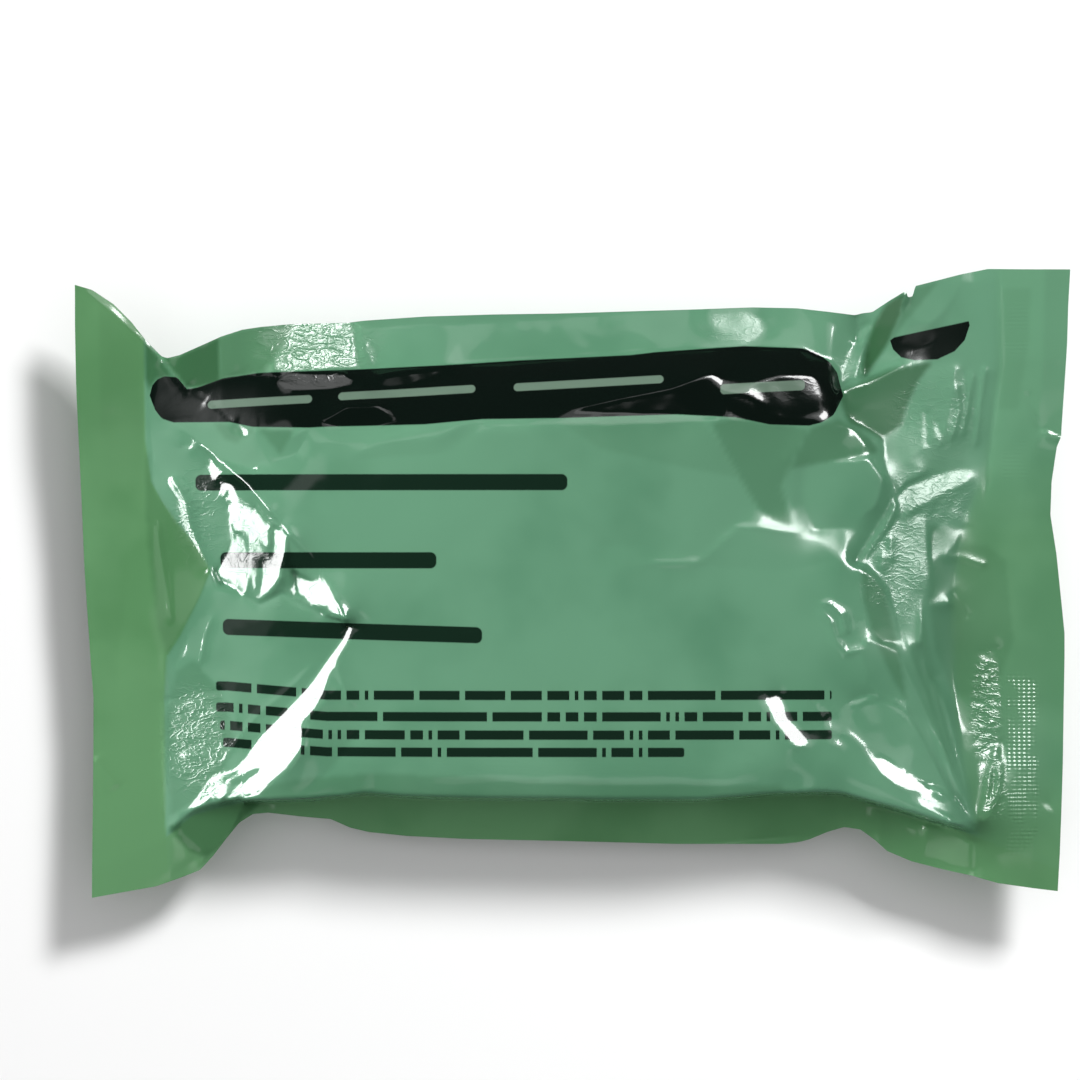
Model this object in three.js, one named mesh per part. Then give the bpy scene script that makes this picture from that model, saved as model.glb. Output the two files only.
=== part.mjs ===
// Sealed packet with a flat-wound trauma bandage inside, lying on its back.
// Millimetres, +Z up, +X along the packet, +Y across it, origin under the middle of its box.
import * as THREE from 'three';
import { mergeVertices } from 'three/addons/utils/BufferGeometryUtils.js';

// Driving sizes of the packet
const packetLength = 166; // corner to corner
const packetWidth = 105; // across the flared ends
const packetThickness = 26; // surface below to the crown
const weldHeight = 11.5; // from the surface below to the welded margins
const endSealWidth = 11.8; // welded strip at each end
const sideFlapWidth = 4.6; // loose margin along each long side, seen from above
const shoulderRun = 4.2; // from the foot of the side wall to the flat of the pillow
const crownRise = 1.1; // dome of the front face over its own edges
const filmWall = 0.45; // the laminate, drawn thick enough for a sound solid
const webGap = 0.3; // between the two webs in the welded margins

// Driving sizes of the bandage
const bandageWidth = 98; // the wrap is four inches wide, pressed in a little at its ends
const bandageCentre = 4; // along the packet, from its middle
const wrapWall = 1.7; // one drawn layer stands for two or three of the wrap
const turnGap = 0.35; // between two turns of the winding
const windingTurns = 3; // drawn turns around the pad
const filmClearance = 0.5; // winding to film
const padClearance = 0.4; // winding to pad

// Outline of the long edges: along and across are shares of the packet's length and width.
const upperEdge = [
  { along: 0.0, across: 0.976 },
  { along: 0.038, across: 0.944 },
  { along: 0.072, across: 0.888 },
  { along: 0.091, across: 0.86 },
  { along: 0.11, across: 0.866 },
  { along: 0.147, across: 0.893 },
  { along: 0.188, across: 0.909 },
  { along: 0.273, across: 0.918 },
  { along: 0.42, across: 0.93 },
  { along: 0.6, across: 0.937 },
  { along: 0.682, across: 0.941 },
  { along: 0.77, across: 0.932 },
  { along: 0.8, across: 0.934 },
  { along: 0.84, across: 0.962 },
  { along: 0.893, across: 0.993 },
  { along: 0.93, across: 1.0 },
  { along: 1.0, across: 1.0 },
];
const lowerEdge = [
  { along: 0.0, across: 0.0 },
  { along: 0.044, across: 0.006 },
  { along: 0.08, across: 0.018 },
  { along: 0.122, across: 0.042 },
  { along: 0.15, across: 0.092 },
  { along: 0.176, across: 0.128 },
  { along: 0.224, across: 0.128 },
  { along: 0.275, across: 0.108 },
  { along: 0.34, across: 0.094 },
  { along: 0.488, across: 0.086 },
  { along: 0.6, across: 0.082 },
  { along: 0.712, across: 0.082 },
  { along: 0.762, across: 0.102 },
  { along: 0.79, across: 0.105 },
  { along: 0.818, across: 0.074 },
  { along: 0.86, across: 0.053 },
  { along: 0.92, across: 0.031 },
  { along: 1.0, across: 0.01 },
];

// Both ends: edge lines as shares of the length, and weld lines in from the edge as shares of the
// seal width
const endLines = [
  { across: 0.0, leftEdge: 0.016, leftWeld: 1.2, rightEdge: 0.989, rightWeld: 1.2 },
  { across: 0.12, leftEdge: 0.017, leftWeld: 1.03, rightEdge: 0.99, rightWeld: 1.2 },
  { across: 0.3, leftEdge: 0.017, leftWeld: 1.05, rightEdge: 0.996, rightWeld: 1.15 },
  { across: 0.4, leftEdge: 0.012, leftWeld: 1.2, rightEdge: 0.996, rightWeld: 1.1 },
  { across: 0.52, leftEdge: 0.008, leftWeld: 1.8, rightEdge: 0.988, rightWeld: 1.0 },
  { across: 0.62, leftEdge: 0.005, leftWeld: 1.25, rightEdge: 0.982, rightWeld: 0.95 },
  { across: 0.72, leftEdge: 0.003, leftWeld: 1.0, rightEdge: 0.991, rightWeld: 0.95 },
  { across: 0.86, leftEdge: 0.001, leftWeld: 1.0, rightEdge: 0.996, rightWeld: 0.98 },
  { across: 1.0, leftEdge: 0.0, leftWeld: 1.0, rightEdge: 1.0, rightWeld: 1.0 },
];

// How far both end edges lie above the weld height, as shares of that height
const endLifts = [
  { across: 0.0, left: 0.05, right: 0.1 },
  { across: 0.12, left: -0.02, right: 0.0 },
  { across: 0.3, left: -0.14, right: -0.12 },
  { across: 0.4, left: -0.2, right: -0.2 },
  { across: 0.52, left: -0.24, right: -0.26 },
  { across: 0.62, left: -0.2, right: -0.3 },
  { across: 0.72, left: -0.1, right: -0.16 },
  { across: 0.86, left: 0.04, right: 0.02 },
  { across: 1.0, left: 0.16, right: 0.14 },
];

// Where the slopes of both ends reach the pillow's full height, as shares of the run from the weld
// line to the bandage's end. Each end is drawn in at its middle and full at its corners.
const pillowLines = [
  { across: 0.1, left: 0.91, right: 0.66 },
  { across: 0.2, left: 1.0, right: 0.8 },
  { across: 0.3, left: 1.2, right: 1.0 },
  { across: 0.43, left: 1.43, right: 1.12 },
  { across: 0.5, left: 1.47, right: 1.12 },
  { across: 0.6, left: 1.1, right: 1.25 },
  { across: 0.7, left: 0.8, right: 1.4 },
  { across: 0.85, left: 0.62, right: 1.55 },
];

// Main folds of the front face: both ends of each fold line as shares of the length and width, its
// height as a share of the thickness and its half width as a share of the packet's width.
const frontFolds = [
  { fromAlong: 0.12, fromAcross: 0.73, toAlong: 0.275, toAcross: 0.44, height: 0.03, halfWidth: 0.035 },
  { fromAlong: 0.275, fromAcross: 0.44, toAlong: 0.165, toAcross: 0.17, height: 0.035, halfWidth: 0.035 },
  { fromAlong: 0.16, fromAcross: 0.53, toAlong: 0.25, toAcross: 0.45, height: -0.06, halfWidth: 0.07 },
  { fromAlong: 0.2, fromAcross: 0.33, toAlong: 0.16, toAcross: 0.24, height: -0.04, halfWidth: 0.05 },
  { fromAlong: 0.65, fromAcross: 0.75, toAlong: 0.73, toAcross: 0.59, height: -0.025, halfWidth: 0.045 },
  { fromAlong: 0.9, fromAcross: 0.13, toAlong: 0.835, toAcross: 0.32, height: -0.05, halfWidth: 0.04 },
  { fromAlong: 0.88, fromAcross: 0.17, toAlong: 0.8, toAcross: 0.23, height: 0.03, halfWidth: 0.03 },
  { fromAlong: 0.82, fromAcross: 0.62, toAlong: 0.785, toAcross: 0.5, height: 0.03, halfWidth: 0.035 },
  { fromAlong: 0.78, fromAcross: 0.7, toAlong: 0.86, toAcross: 0.8, height: -0.04, halfWidth: 0.05 },
];

// Stations of the winding, as shares of the bandage's width from its middle. Towards its ends it is
// pressed as thin as the film leaves room for.
const windingStations = [-0.5, -0.45, -0.4, -0.33, -0.25, 0.25, 0.36, 0.43, 0.5];

// Cells of the film mesh between its feature lines
const sealCells = 3;
const endSlopeCells = 6;
const pillowCellsAlong = 19;
const flapCells = 2;
const shoulderCells = 4;
const pillowCellsAcross = 11;

const filmColour = 0x5c9473;
const backFilmColour = 0x4f8464;
const wrapColour = 0x6f7350;
const padColour = 0xe9e6dc;

// Straight-line reading of one column of a table at a share along another
function readTable(rows, at, column, share) {
  const last = rows.length - 1;
  if (share <= rows[0][at]) return rows[0][column];
  if (share >= rows[last][at]) return rows[last][column];
  const next = rows.findIndex((row) => row[at] >= share);
  const low = rows[next - 1];
  const high = rows[next];
  const blend = (share - low[at]) / (high[at] - low[at]);
  return THREE.MathUtils.lerp(low[column], high[column], blend);
}

const xAt = (along) => (along - 0.5) * packetLength;
const yAt = (across) => (across - 0.5) * packetWidth;
const alongOf = (x) => x / packetLength + 0.5;
const acrossOf = (y) => y / packetWidth + 0.5;

// X of every feature line at a share across the packet
function lengthLines(across) {
  const left = xAt(readTable(endLines, 'across', 'leftEdge', across));
  const right = xAt(readTable(endLines, 'across', 'rightEdge', across));
  const leftWeld = left + endSealWidth * readTable(endLines, 'across', 'leftWeld', across);
  const rightWeld = right - endSealWidth * readTable(endLines, 'across', 'rightWeld', across);
  const leftShare = readTable(pillowLines, 'across', 'left', across);
  const rightShare = readTable(pillowLines, 'across', 'right', across);
  const leftFlat = THREE.MathUtils.lerp(leftWeld, bandageCentre - bandageWidth / 2, leftShare);
  const rightFlat = THREE.MathUtils.lerp(rightWeld, bandageCentre + bandageWidth / 2, rightShare);
  return [left, leftWeld, leftFlat, rightFlat, rightWeld, right];
}

// Y of every feature line at a place along the packet
function widthLines(x) {
  const low = yAt(readTable(lowerEdge, 'along', 'across', alongOf(x)));
  const high = yAt(readTable(upperEdge, 'along', 'across', alongOf(x)));
  return [
    low,
    low + sideFlapWidth,
    low + sideFlapWidth + shoulderRun,
    high - sideFlapWidth - shoulderRun,
    high - sideFlapWidth,
    high,
  ];
}

// Rises from 0 at the foot of a wall to 1, level, at the top of its run
function wallRise(distance, run) {
  const share = THREE.MathUtils.clamp(distance / run, 0, 1);
  return 1 - (1 - share) ** 2.2;
}

// Softer than wallRise: the film starts to lift gently at a weld line across an end
function endRise(distance, run) {
  const share = THREE.MathUtils.clamp(distance / run, 0, 1);
  return share * (2 - share) * (0.55 + 0.45 * share);
}

// How far up the pillow a point lies: 0 in the margins, 1 on the flat
function pillowShare(x, y) {
  const [, leftWeld, leftFlat, rightFlat, rightWeld] = lengthLines(acrossOf(y));
  const [, lowFoot, , , highFoot] = widthLines(x);
  const along = endRise(x - leftWeld, leftFlat - leftWeld) * endRise(rightWeld - x, rightWeld - rightFlat);
  const across = wallRise(y - lowFoot, shoulderRun) * wallRise(highFoot - y, shoulderRun);
  return along * across;
}

// Height of the middle of the weld: level along the sides, waved and drooping at both ends
function weldLevel(x, y) {
  const [left, leftWeld, , , rightWeld, right] = lengthLines(acrossOf(y));
  const leftShare = THREE.MathUtils.clamp((leftWeld - x) / (leftWeld - left), 0, 1);
  const rightShare = THREE.MathUtils.clamp((x - rightWeld) / (right - rightWeld), 0, 1);
  const leftLift = leftShare * readTable(endLifts, 'across', 'left', acrossOf(y));
  const rightLift = rightShare * readTable(endLifts, 'across', 'right', acrossOf(y));
  return weldHeight * (1 + leftLift + rightLift);
}

// Height that one fold adds at a point: a smooth ridge or valley that fades towards both its ends
function foldHeight(fold, x, y) {
  const start = new THREE.Vector2(xAt(fold.fromAlong), yAt(fold.fromAcross));
  const run = new THREE.Vector2(xAt(fold.toAlong), yAt(fold.toAcross)).sub(start);
  const offset = new THREE.Vector2(x, y).sub(start);
  const share = THREE.MathUtils.clamp(offset.dot(run) / run.lengthSq(), 0, 1);
  const distance = offset.addScaledVector(run, -share).length();
  const side = Math.min(distance / (fold.halfWidth * packetWidth), 1);
  return fold.height * packetThickness * (1 - side * side) ** 2;
}

// Inner face of the front web
function frontHeight(x, y) {
  const [, , lowFlat, highFlat] = widthLines(x);
  const reach = 2 * (y - (lowFlat + highFlat) / 2) / (highFlat - lowFlat);
  const dome = crownRise * Math.min(reach * reach, 1);
  const folds = frontFolds.reduce((sum, fold) => sum + foldHeight(fold, x, y), 0);
  const flat = packetThickness - filmWall - dome + folds;
  return THREE.MathUtils.lerp(weldLevel(x, y) + webGap / 2, flat, pillowShare(x, y));
}

// Inner face of the back web, level where the packet rests
function backHeight(x, y) {
  return THREE.MathUtils.lerp(weldLevel(x, y) - webGap / 2, filmWall, pillowShare(x, y));
}

// Splits the spans between feature lines into cells
function spread(lines, cells) {
  const places = [lines[0]];
  cells.forEach((count, span) => {
    for (let step = 1; step <= count; step += 1) {
      places.push(THREE.MathUtils.lerp(lines[span], lines[span + 1], step / count));
    }
  });
  return places;
}

const alongCells = [sealCells, endSlopeCells, pillowCellsAlong, endSlopeCells, sealCells];
const acrossCells = [flapCells, shoulderCells, pillowCellsAcross, shoulderCells, flapCells];
const columnCount = alongCells.reduce((sum, count) => sum + count, 1);
const rowCount = acrossCells.reduce((sum, count) => sum + count, 1);

// Where a column and a row of the grid cross. The feature lines of both depend on each other, so
// the place settles in a few rounds.
const settleRounds = 6;
function gridPlace(column, row) {
  let x = 0;
  let y = spread(widthLines(x), acrossCells)[row];
  for (let round = 0; round < settleRounds; round += 1) {
    x = spread(lengthLines(acrossOf(y)), alongCells)[column];
    y = spread(widthLines(x), acrossCells)[row];
  }
  return { x, y };
}

// Grid of points on the inner face of a web, in columns along X
function webGrid(height) {
  const points = [];
  for (let column = 0; column < columnCount; column += 1) {
    for (let row = 0; row < rowCount; row += 1) {
      const { x, y } = gridPlace(column, row);
      points.push(new THREE.Vector3(x, y, height(x, y)));
    }
  }
  return points;
}

// Two triangles for every cell of a grid, facing up
function gridTriangles() {
  const triangles = [];
  for (let column = 0; column < columnCount - 1; column += 1) {
    for (let row = 0; row < rowCount - 1; row += 1) {
      const corner = column * rowCount + row;
      const across = corner + 1;
      const along = corner + rowCount;
      triangles.push([corner, along, along + 1], [corner, along + 1, across]);
    }
  }
  return triangles;
}

// The rim of a grid, counterclockwise seen from above
function gridRim() {
  const rim = [];
  for (let column = 0; column < columnCount - 1; column += 1) rim.push(column * rowCount);
  for (let row = 0; row < rowCount - 1; row += 1) rim.push((columnCount - 1) * rowCount + row);
  for (let column = columnCount - 1; column > 0; column -= 1) rim.push(column * rowCount + rowCount - 1);
  for (let row = rowCount - 1; row > 0; row -= 1) rim.push(row);
  return rim;
}

function geometryOf(points, triangles) {
  const geometry = new THREE.BufferGeometry();
  const numbers = points.flatMap((point) => [point.x, point.y, point.z]);
  geometry.setAttribute('position', new THREE.Float32BufferAttribute(numbers, 3));
  geometry.setIndex(triangles.flat());
  return geometry;
}

// A web: its inner face, the same face moved outward by the film's wall, and the rim between them.
// Outward is up for the front web (side 1) and down for the back web (side -1).
function webGeometry(height, side) {
  const inner = webGrid(height);
  const faces = gridTriangles();
  const shape = geometryOf(inner, faces);
  shape.computeVertexNormals();
  const normals = shape.getAttribute('normal');
  const outer = inner.map((point, index) => {
    const normal = new THREE.Vector3().fromBufferAttribute(normals, index);
    return point.clone().addScaledVector(normal, side * filmWall);
  });
  const count = inner.length;
  const upperStart = side > 0 ? count : 0;
  const lowerStart = side > 0 ? 0 : count;
  const rim = gridRim();
  const upper = faces.map((face) => face.map((index) => index + upperStart));
  const lower = faces.map(([a, b, c]) => [a + lowerStart, c + lowerStart, b + lowerStart]);
  const wall = rim.flatMap((from, index) => {
    const to = rim[(index + 1) % rim.length];
    return [
      [from + lowerStart, to + lowerStart, to + upperStart],
      [from + lowerStart, to + upperStart, from + upperStart],
    ];
  });
  return geometryOf([...inner, ...outer], [...upper, ...lower, ...wall]);
}

// Room for the winding, read where the packet is narrowest over the bandage
const roomSamples = 24;
function windingRoom() {
  let low = -Infinity;
  let high = Infinity;
  for (let step = 0; step <= roomSamples; step += 1) {
    const x = bandageCentre + bandageWidth * (step / roomSamples - 0.5);
    const [, , lowFlat, highFlat] = widthLines(x);
    low = Math.max(low, lowFlat);
    high = Math.min(high, highFlat);
  }
  return { low, high };
}

const room = windingRoom();
const windingBottom = filmWall + filmClearance;
const windingTop = packetThickness - filmWall - crownRise - filmClearance;
const windingThickness = windingTop - windingBottom;
const windingCentreY = (room.low + room.high) / 2;
const windingBreadth = room.high - room.low;

// Flattened spiral centre line: half turns of growing radius about the two ends of a flat core,
// and a loose end that lies under the core
const arcSteps = 7;
const looseEndReach = 0.6; // of the core's half length
function spiralLine(innerHalfHeight, coreHalf, pitch, turns) {
  const line = [];
  for (let half = 0; half < turns * 2; half += 1) {
    const centre = half % 2 === 0 ? coreHalf : -coreHalf;
    for (let step = 0; step <= arcSteps; step += 1) {
      const angle = Math.PI * (half + step / arcSteps) - Math.PI / 2;
      const grown = innerHalfHeight + (pitch * (half + step / arcSteps)) / 2;
      line.push(new THREE.Vector2(centre + grown * Math.cos(angle), grown * Math.sin(angle)));
    }
  }
  const last = line[line.length - 1];
  line.push(new THREE.Vector2(coreHalf * looseEndReach, last.y));
  return line;
}

// Closed outline of a strip of even thickness that follows a line
function stripOutline(line, thickness) {
  const sideOf = (index) => {
    const before = line[Math.max(index - 1, 0)];
    const after = line[Math.min(index + 1, line.length - 1)];
    const along = after.clone().sub(before).normalize();
    return new THREE.Vector2(along.y, -along.x).multiplyScalar(thickness / 2);
  };
  const outside = line.map((point, index) => point.clone().add(sideOf(index)));
  const inside = line.map((point, index) => point.clone().sub(sideOf(index)));
  return [...outside, ...inside.reverse()];
}

// Share of its full thickness that the winding keeps at a place along it: the least that the film
// leaves free above and below any part of its outline
const pressSamples = 40;
function pressAt(x) {
  const endRadius = windingThickness / 2;
  const presses = [1];
  for (let step = 1; step < pressSamples; step += 1) {
    const reach = windingBreadth * (step / pressSamples - 0.5);
    const past = Math.max(Math.abs(reach) - coreHalf, 0);
    const fullHalf = Math.sqrt(endRadius * endRadius - past * past);
    const y = windingCentreY + reach;
    presses.push((frontHeight(x, y) - filmClearance - windingMiddle) / fullHalf);
    presses.push((windingMiddle - filmClearance - backHeight(x, y)) / fullHalf);
  }
  return Math.min(...presses);
}

// Runs an outline in the Y-Z plane along the bandage and presses it thinner towards both ends
function pressedExtrusion(outline) {
  const steps = windingStations.length - 1;
  const stations = windingStations.map((share) => bandageCentre + bandageWidth * share);
  const presses = stations.map(pressAt);
  const geometry = new THREE.ExtrudeGeometry(new THREE.Shape(outline), {
    depth: bandageWidth,
    steps,
    bevelEnabled: false,
  });
  const position = geometry.getAttribute('position');
  for (let index = 0; index < position.count; index += 1) {
    const station = Math.round((position.getZ(index) / bandageWidth) * steps);
    const y = windingCentreY + position.getX(index);
    const z = windingMiddle + position.getY(index) * presses[station];
    position.setXYZ(index, stations[station], y, z);
  }
  geometry.deleteAttribute('normal');
  geometry.deleteAttribute('uv');
  return mergeVertices(geometry);
}

// Winding and pad share one core: the pad's half thickness is what the turns leave free. The
// spiral ends underneath, so its upper side is half a pitch nearer the middle than its lower one.
const pitch = wrapWall + turnGap;
const outermost = (windingThickness - wrapWall + pitch / 2) / 2;
const windingMiddle = windingBottom + wrapWall / 2 + outermost;
const innermost = outermost - pitch * windingTurns;
const coreHalf = windingBreadth / 2 - windingThickness / 2;
const padHalfThickness = innermost - wrapWall / 2 - padClearance;

function windingGeometry() {
  return pressedExtrusion(stripOutline(spiralLine(innermost, coreHalf, pitch, windingTurns), wrapWall));
}

// The pad is a flat bar with rounded long edges
function padGeometry() {
  const outline = [];
  const padEndSteps = 6;
  [coreHalf, -coreHalf].forEach((centre, end) => {
    for (let step = 0; step <= padEndSteps; step += 1) {
      const angle = Math.PI * (end + step / padEndSteps) - Math.PI / 2;
      const reach = padHalfThickness * Math.cos(angle);
      outline.push(new THREE.Vector2(centre + reach, padHalfThickness * Math.sin(angle)));
    }
  });
  return pressedExtrusion(outline);
}

function piece(name, geometry, color, roughness) {
  const material = new THREE.MeshStandardMaterial({ color, roughness, metalness: 0 });
  const mesh = new THREE.Mesh(geometry, material);
  mesh.name = name;
  return mesh;
}

const packet = new THREE.Group();
packet.add(piece('front_film', webGeometry(frontHeight, 1), filmColour, 0.25));
packet.add(piece('back_film', webGeometry(backHeight, -1), backFilmColour, 0.3));
packet.add(piece('bandage_roll', windingGeometry(), wrapColour, 0.9));
packet.add(piece('dressing_pad', padGeometry(), padColour, 0.95));

export default packet;
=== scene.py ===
import math

import bpy
import numpy as np
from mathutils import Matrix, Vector


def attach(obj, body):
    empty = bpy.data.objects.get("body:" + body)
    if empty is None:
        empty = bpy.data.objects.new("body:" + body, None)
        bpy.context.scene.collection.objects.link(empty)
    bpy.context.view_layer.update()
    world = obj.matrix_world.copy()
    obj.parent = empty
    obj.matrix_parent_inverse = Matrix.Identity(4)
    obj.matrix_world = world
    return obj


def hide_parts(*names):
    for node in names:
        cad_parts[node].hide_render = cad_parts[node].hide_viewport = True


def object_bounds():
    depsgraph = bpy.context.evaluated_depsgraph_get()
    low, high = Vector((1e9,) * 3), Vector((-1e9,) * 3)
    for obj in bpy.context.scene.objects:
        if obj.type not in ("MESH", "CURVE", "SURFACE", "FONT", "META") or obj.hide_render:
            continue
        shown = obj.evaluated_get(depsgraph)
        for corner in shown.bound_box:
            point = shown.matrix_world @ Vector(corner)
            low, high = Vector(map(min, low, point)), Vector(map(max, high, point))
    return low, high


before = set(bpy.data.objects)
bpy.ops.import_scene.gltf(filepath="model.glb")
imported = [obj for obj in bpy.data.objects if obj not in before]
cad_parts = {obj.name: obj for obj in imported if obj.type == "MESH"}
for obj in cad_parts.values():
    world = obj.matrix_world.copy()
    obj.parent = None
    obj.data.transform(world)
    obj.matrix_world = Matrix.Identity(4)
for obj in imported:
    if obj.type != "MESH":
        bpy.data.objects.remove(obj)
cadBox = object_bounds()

scene = bpy.context.scene
mm = 0.001

# The packet as the frame gives it, in millimetres
packetLow, packetHigh = [np.array(corner) / mm for corner in cadBox]
packetLength = packetHigh[0] - packetLow[0]
packetTop = packetHigh[2]

# Places on the film are charted as column and row of the reference picture, which looks straight down
chart = {
    "leftCorner": 77,
    "rightCorner": 1067,
    "middleColumn": 572,
    "middleRow": 584,
    "imageSize": 1080,
}
pixel = packetLength / (chart["rightCorner"] - chart["leftCorner"])


def toX(column):
    return (np.asarray(column, float) - chart["middleColumn"]) * pixel


def toY(row):
    return (chart["middleRow"] - np.asarray(row, float)) * pixel


def toColumn(x):
    return x / pixel + chart["middleColumn"]


def toRow(y):
    return chart["middleRow"] - y / pixel


def clamp(values, low=0.0, high=1.0):
    return np.minimum(np.maximum(values, low), high)


def smooth(values):
    values = clamp(values)
    return values * values * (3 - 2 * values)


def mix(a, b, share):
    return a + (b - a) * share


# Rows of a table as dictionaries, by the names of its columns.
def namedRows(columns, rows):
    return [dict(zip(columns.split(), row)) for row in rows]


# A short table of pairs, read at a place between them.
def readPairs(pairs, place):
    return np.interp(place, [p[0] for p in pairs], [p[1] for p in pairs])


# Outline of the long edges: column, row
upperEdge = [
    (77, 286), (94, 291), (115, 305), (133, 323), (148, 342), (163, 357), (169, 359), (182, 356),
    (203, 347), (223, 338), (244, 331), (263, 328), (293, 325), (347, 323), (364, 321), (426, 317),
    (493, 315), (560, 314), (630, 312), (702, 310), (752, 308), (796, 309), (829, 313), (854, 316),
    (861, 314), (871, 313), (886, 303), (904, 292), (906, 298), (911, 298), (914, 287), (961, 275),
    (986, 270), (1036, 271), (1067, 271),
]
lowerEdge = [
    (93, 897), (121, 892), (156, 886), (182, 877), (200, 870), (213, 856), (226, 839), (240, 822),
    (253, 814), (268, 813), (299, 817), (330, 820), (349, 829), (368, 834), (406, 838), (464, 841),
    (560, 843), (600, 844), (676, 846), (782, 846), (800, 844), (811, 841), (829, 833), (845, 828),
    (861, 830), (875, 840), (887, 851), (911, 861), (943, 869), (971, 875), (996, 882), (1032, 887),
    (1056, 890),
]
# Where the loose margin of each long side meets the pillow
upperFoot = [
    (77, 300), (147, 349), (163, 362), (187, 388), (200, 389), (225, 380), (260, 374), (335, 371),
    (445, 366), (521, 361), (656, 353), (743, 348), (800, 350), (830, 362), (845, 378), (862, 378),
    (885, 366), (905, 356), (930, 344), (965, 324), (996, 300), (1067, 290),
]
lowerFoot = [
    (77, 880), (165, 838), (180, 826), (195, 814), (225, 806), (240, 802), (267, 802), (312, 801),
    (347, 797), (368, 795), (406, 798), (483, 800), (560, 800), (600, 801), (696, 801), (740, 798),
    (772, 795), (795, 794), (839, 794), (870, 803), (900, 812), (930, 821), (955, 828), (973, 834),
    (1067, 872),
]
# Lines across the packet, from the upper row to the lower one: column, row
leftEdge = [
    (77, 286), (77, 326), (78, 384), (80, 441), (83, 520), (85, 568), (88, 616), (91, 659),
    (94, 697), (94, 755), (93, 897),
]
rightEdge = [
    (1067, 271), (1065, 308), (1064, 343), (1061, 399), (1059, 437), (1055, 447), (1050, 482),
    (1049, 515), (1055, 554), (1063, 633), (1063, 656), (1061, 763), (1058, 852), (1056, 890),
]
leftWeld = [
    (146, 286), (146, 440), (152, 482), (163, 502), (176, 520), (188, 534), (202, 551), (212, 571),
    (202, 596), (182, 635), (168, 656), (165, 700), (166, 824), (172, 897),
]
rightWeld = [
    (996, 271), (997, 366), (992, 416), (985, 460), (972, 500), (958, 540), (950, 600), (952, 680),
    (960, 760), (973, 826), (973, 897),
]
# Where the slope of each end reaches the face
leftFlat = [
    (176, 286), (182, 380), (190, 430), (222, 461), (252, 485), (284, 522), (318, 562), (340, 595),
    (352, 625), (338, 661), (312, 712), (276, 760), (240, 790), (215, 897),
]
rightFlat = [
    (800, 271), (808, 400), (830, 470), (840, 505), (842, 540), (842, 570), (846, 600), (854, 640),
    (868, 680), (886, 720), (910, 760), (942, 800), (952, 897),
]

# The form of the film, in mm
film = {
    "faceHeight": packetTop - 3.4,  # mm above the surface it lies on
    "crown": 1.7,  # how much higher the middle of the face is than its ends
    "crownMiddle": 4.0,
    "crownReach": 55.0,
    "weldHeight": 12.0,
    "lowerWall": 1.3,  # run of the side wall, seen from above
    "upperShoulder": 12.5,
    "backWall": 2.4,
    "upperLift": 3.6,  # how much higher the upper margin is joined than the other three
    "liftRun": 22.0,
    "flapDroop": 4.6,
    "fineStep": 0.37,  # mesh spacing at the crumpled ends
    "wideStep": 0.75,
    "frontMesh": (336, 262),  # points along and across
    "backMesh": (250, 170),
    "webGap": 0.2,  # between the two webs in the margins
}

# The welded margins. Lifts are in mm by row, droops are shares of flapDroop by column, and the tone is how
# far the right margin takes the colour of a weld, by row
margins = {
    "leftLift": [(290, 2.2), (400, 1.6), (520, -0.6), (640, -1.2), (760, -0.2), (895, 0.8)],
    "rightLift": [(275, 3.2), (360, 3.0), (450, 1.2), (520, 0.4), (640, 0.6), (760, 0.8), (890, 1.0)],
    "lowDroop": [(170, 0.1), (260, 0.6), (380, 1.1), (780, 1.1), (850, 0.7), (880, 0.15), (960, 0)],
    "highDroop": [(150, -0.1), (190, -0.15), (240, 0.0), (330, 0.3), (800, 0.35), (860, 0.2), (960, 0)],
    "lowRun": 7.5,  # mm from the foot of the pillow to the full droop
    "highRun": 7.0,
    "rightTone": [(300, 0.15), (440, 0.2), (540, 0.6), (680, 0.5), (760, 0.35), (850, 0.8)],
}


def lineAt(line, rows):
    table = np.array(line, float)
    return toX(np.interp(rows, table[:, 1], table[:, 0]))


def edgeAt(line, columns):
    table = np.array(line, float)
    return toY(np.interp(columns, table[:, 0], table[:, 1]))


def wallRise(distance, run):
    return 1 - (1 - clamp(distance / run)) ** 2.2


# Gentle off the weld and steep below the face.
def endRise(share):
    share = clamp(share)
    return 0.55 * share + 0.45 * share ** 2.6


def softRise(share):
    return 0.35 * clamp(share) + 0.65 * smooth(share)


# Height of the welded margins: they droop off the long sides and wave at the ends.
def weldLevel(x, y):
    row = toRow(y)
    column = toColumn(x)
    leftLine, rightLine = lineAt(leftWeld, row), lineAt(rightWeld, row)
    left = clamp((leftLine - x) / (leftLine - lineAt(leftEdge, row)) + 0.35)
    right = clamp((x - rightLine) / (lineAt(rightEdge, row) - rightLine) + 0.35)
    leftFade = smooth((320 - column) / 150)
    rightFade = smooth((column - 840) / 130)
    lift = left * leftFade * readPairs(margins["leftLift"], row)
    lift += right * rightFade * readPairs(margins["rightLift"], row)
    lowFoot, highFoot = edgeAt(lowerFoot, column), edgeAt(upperFoot, column)
    low = clamp((lowFoot - y) / margins["lowRun"]) * readPairs(margins["lowDroop"], column)
    high = clamp((y - highFoot) / margins["highRun"]) * readPairs(margins["highDroop"], column)
    raised = film["upperLift"] * smooth((y - highFoot + film["liftRun"]) / film["liftRun"])
    raised = raised * smooth((column - 150) / 60) * smooth((900 - column) / 80)
    return film["weldHeight"] + lift + raised - film["flapDroop"] * (low + high)


# 0 at the welds across the ends, 1 on the face between them.
def betweenEnds(x, row):
    lw, lf = lineAt(leftWeld, row), lineAt(leftFlat, row)
    rw, rf = lineAt(rightWeld, row), lineAt(rightFlat, row)
    return endRise((x - lw) / (lf - lw)) * softRise((rw - x) / (rw - rf))


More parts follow.
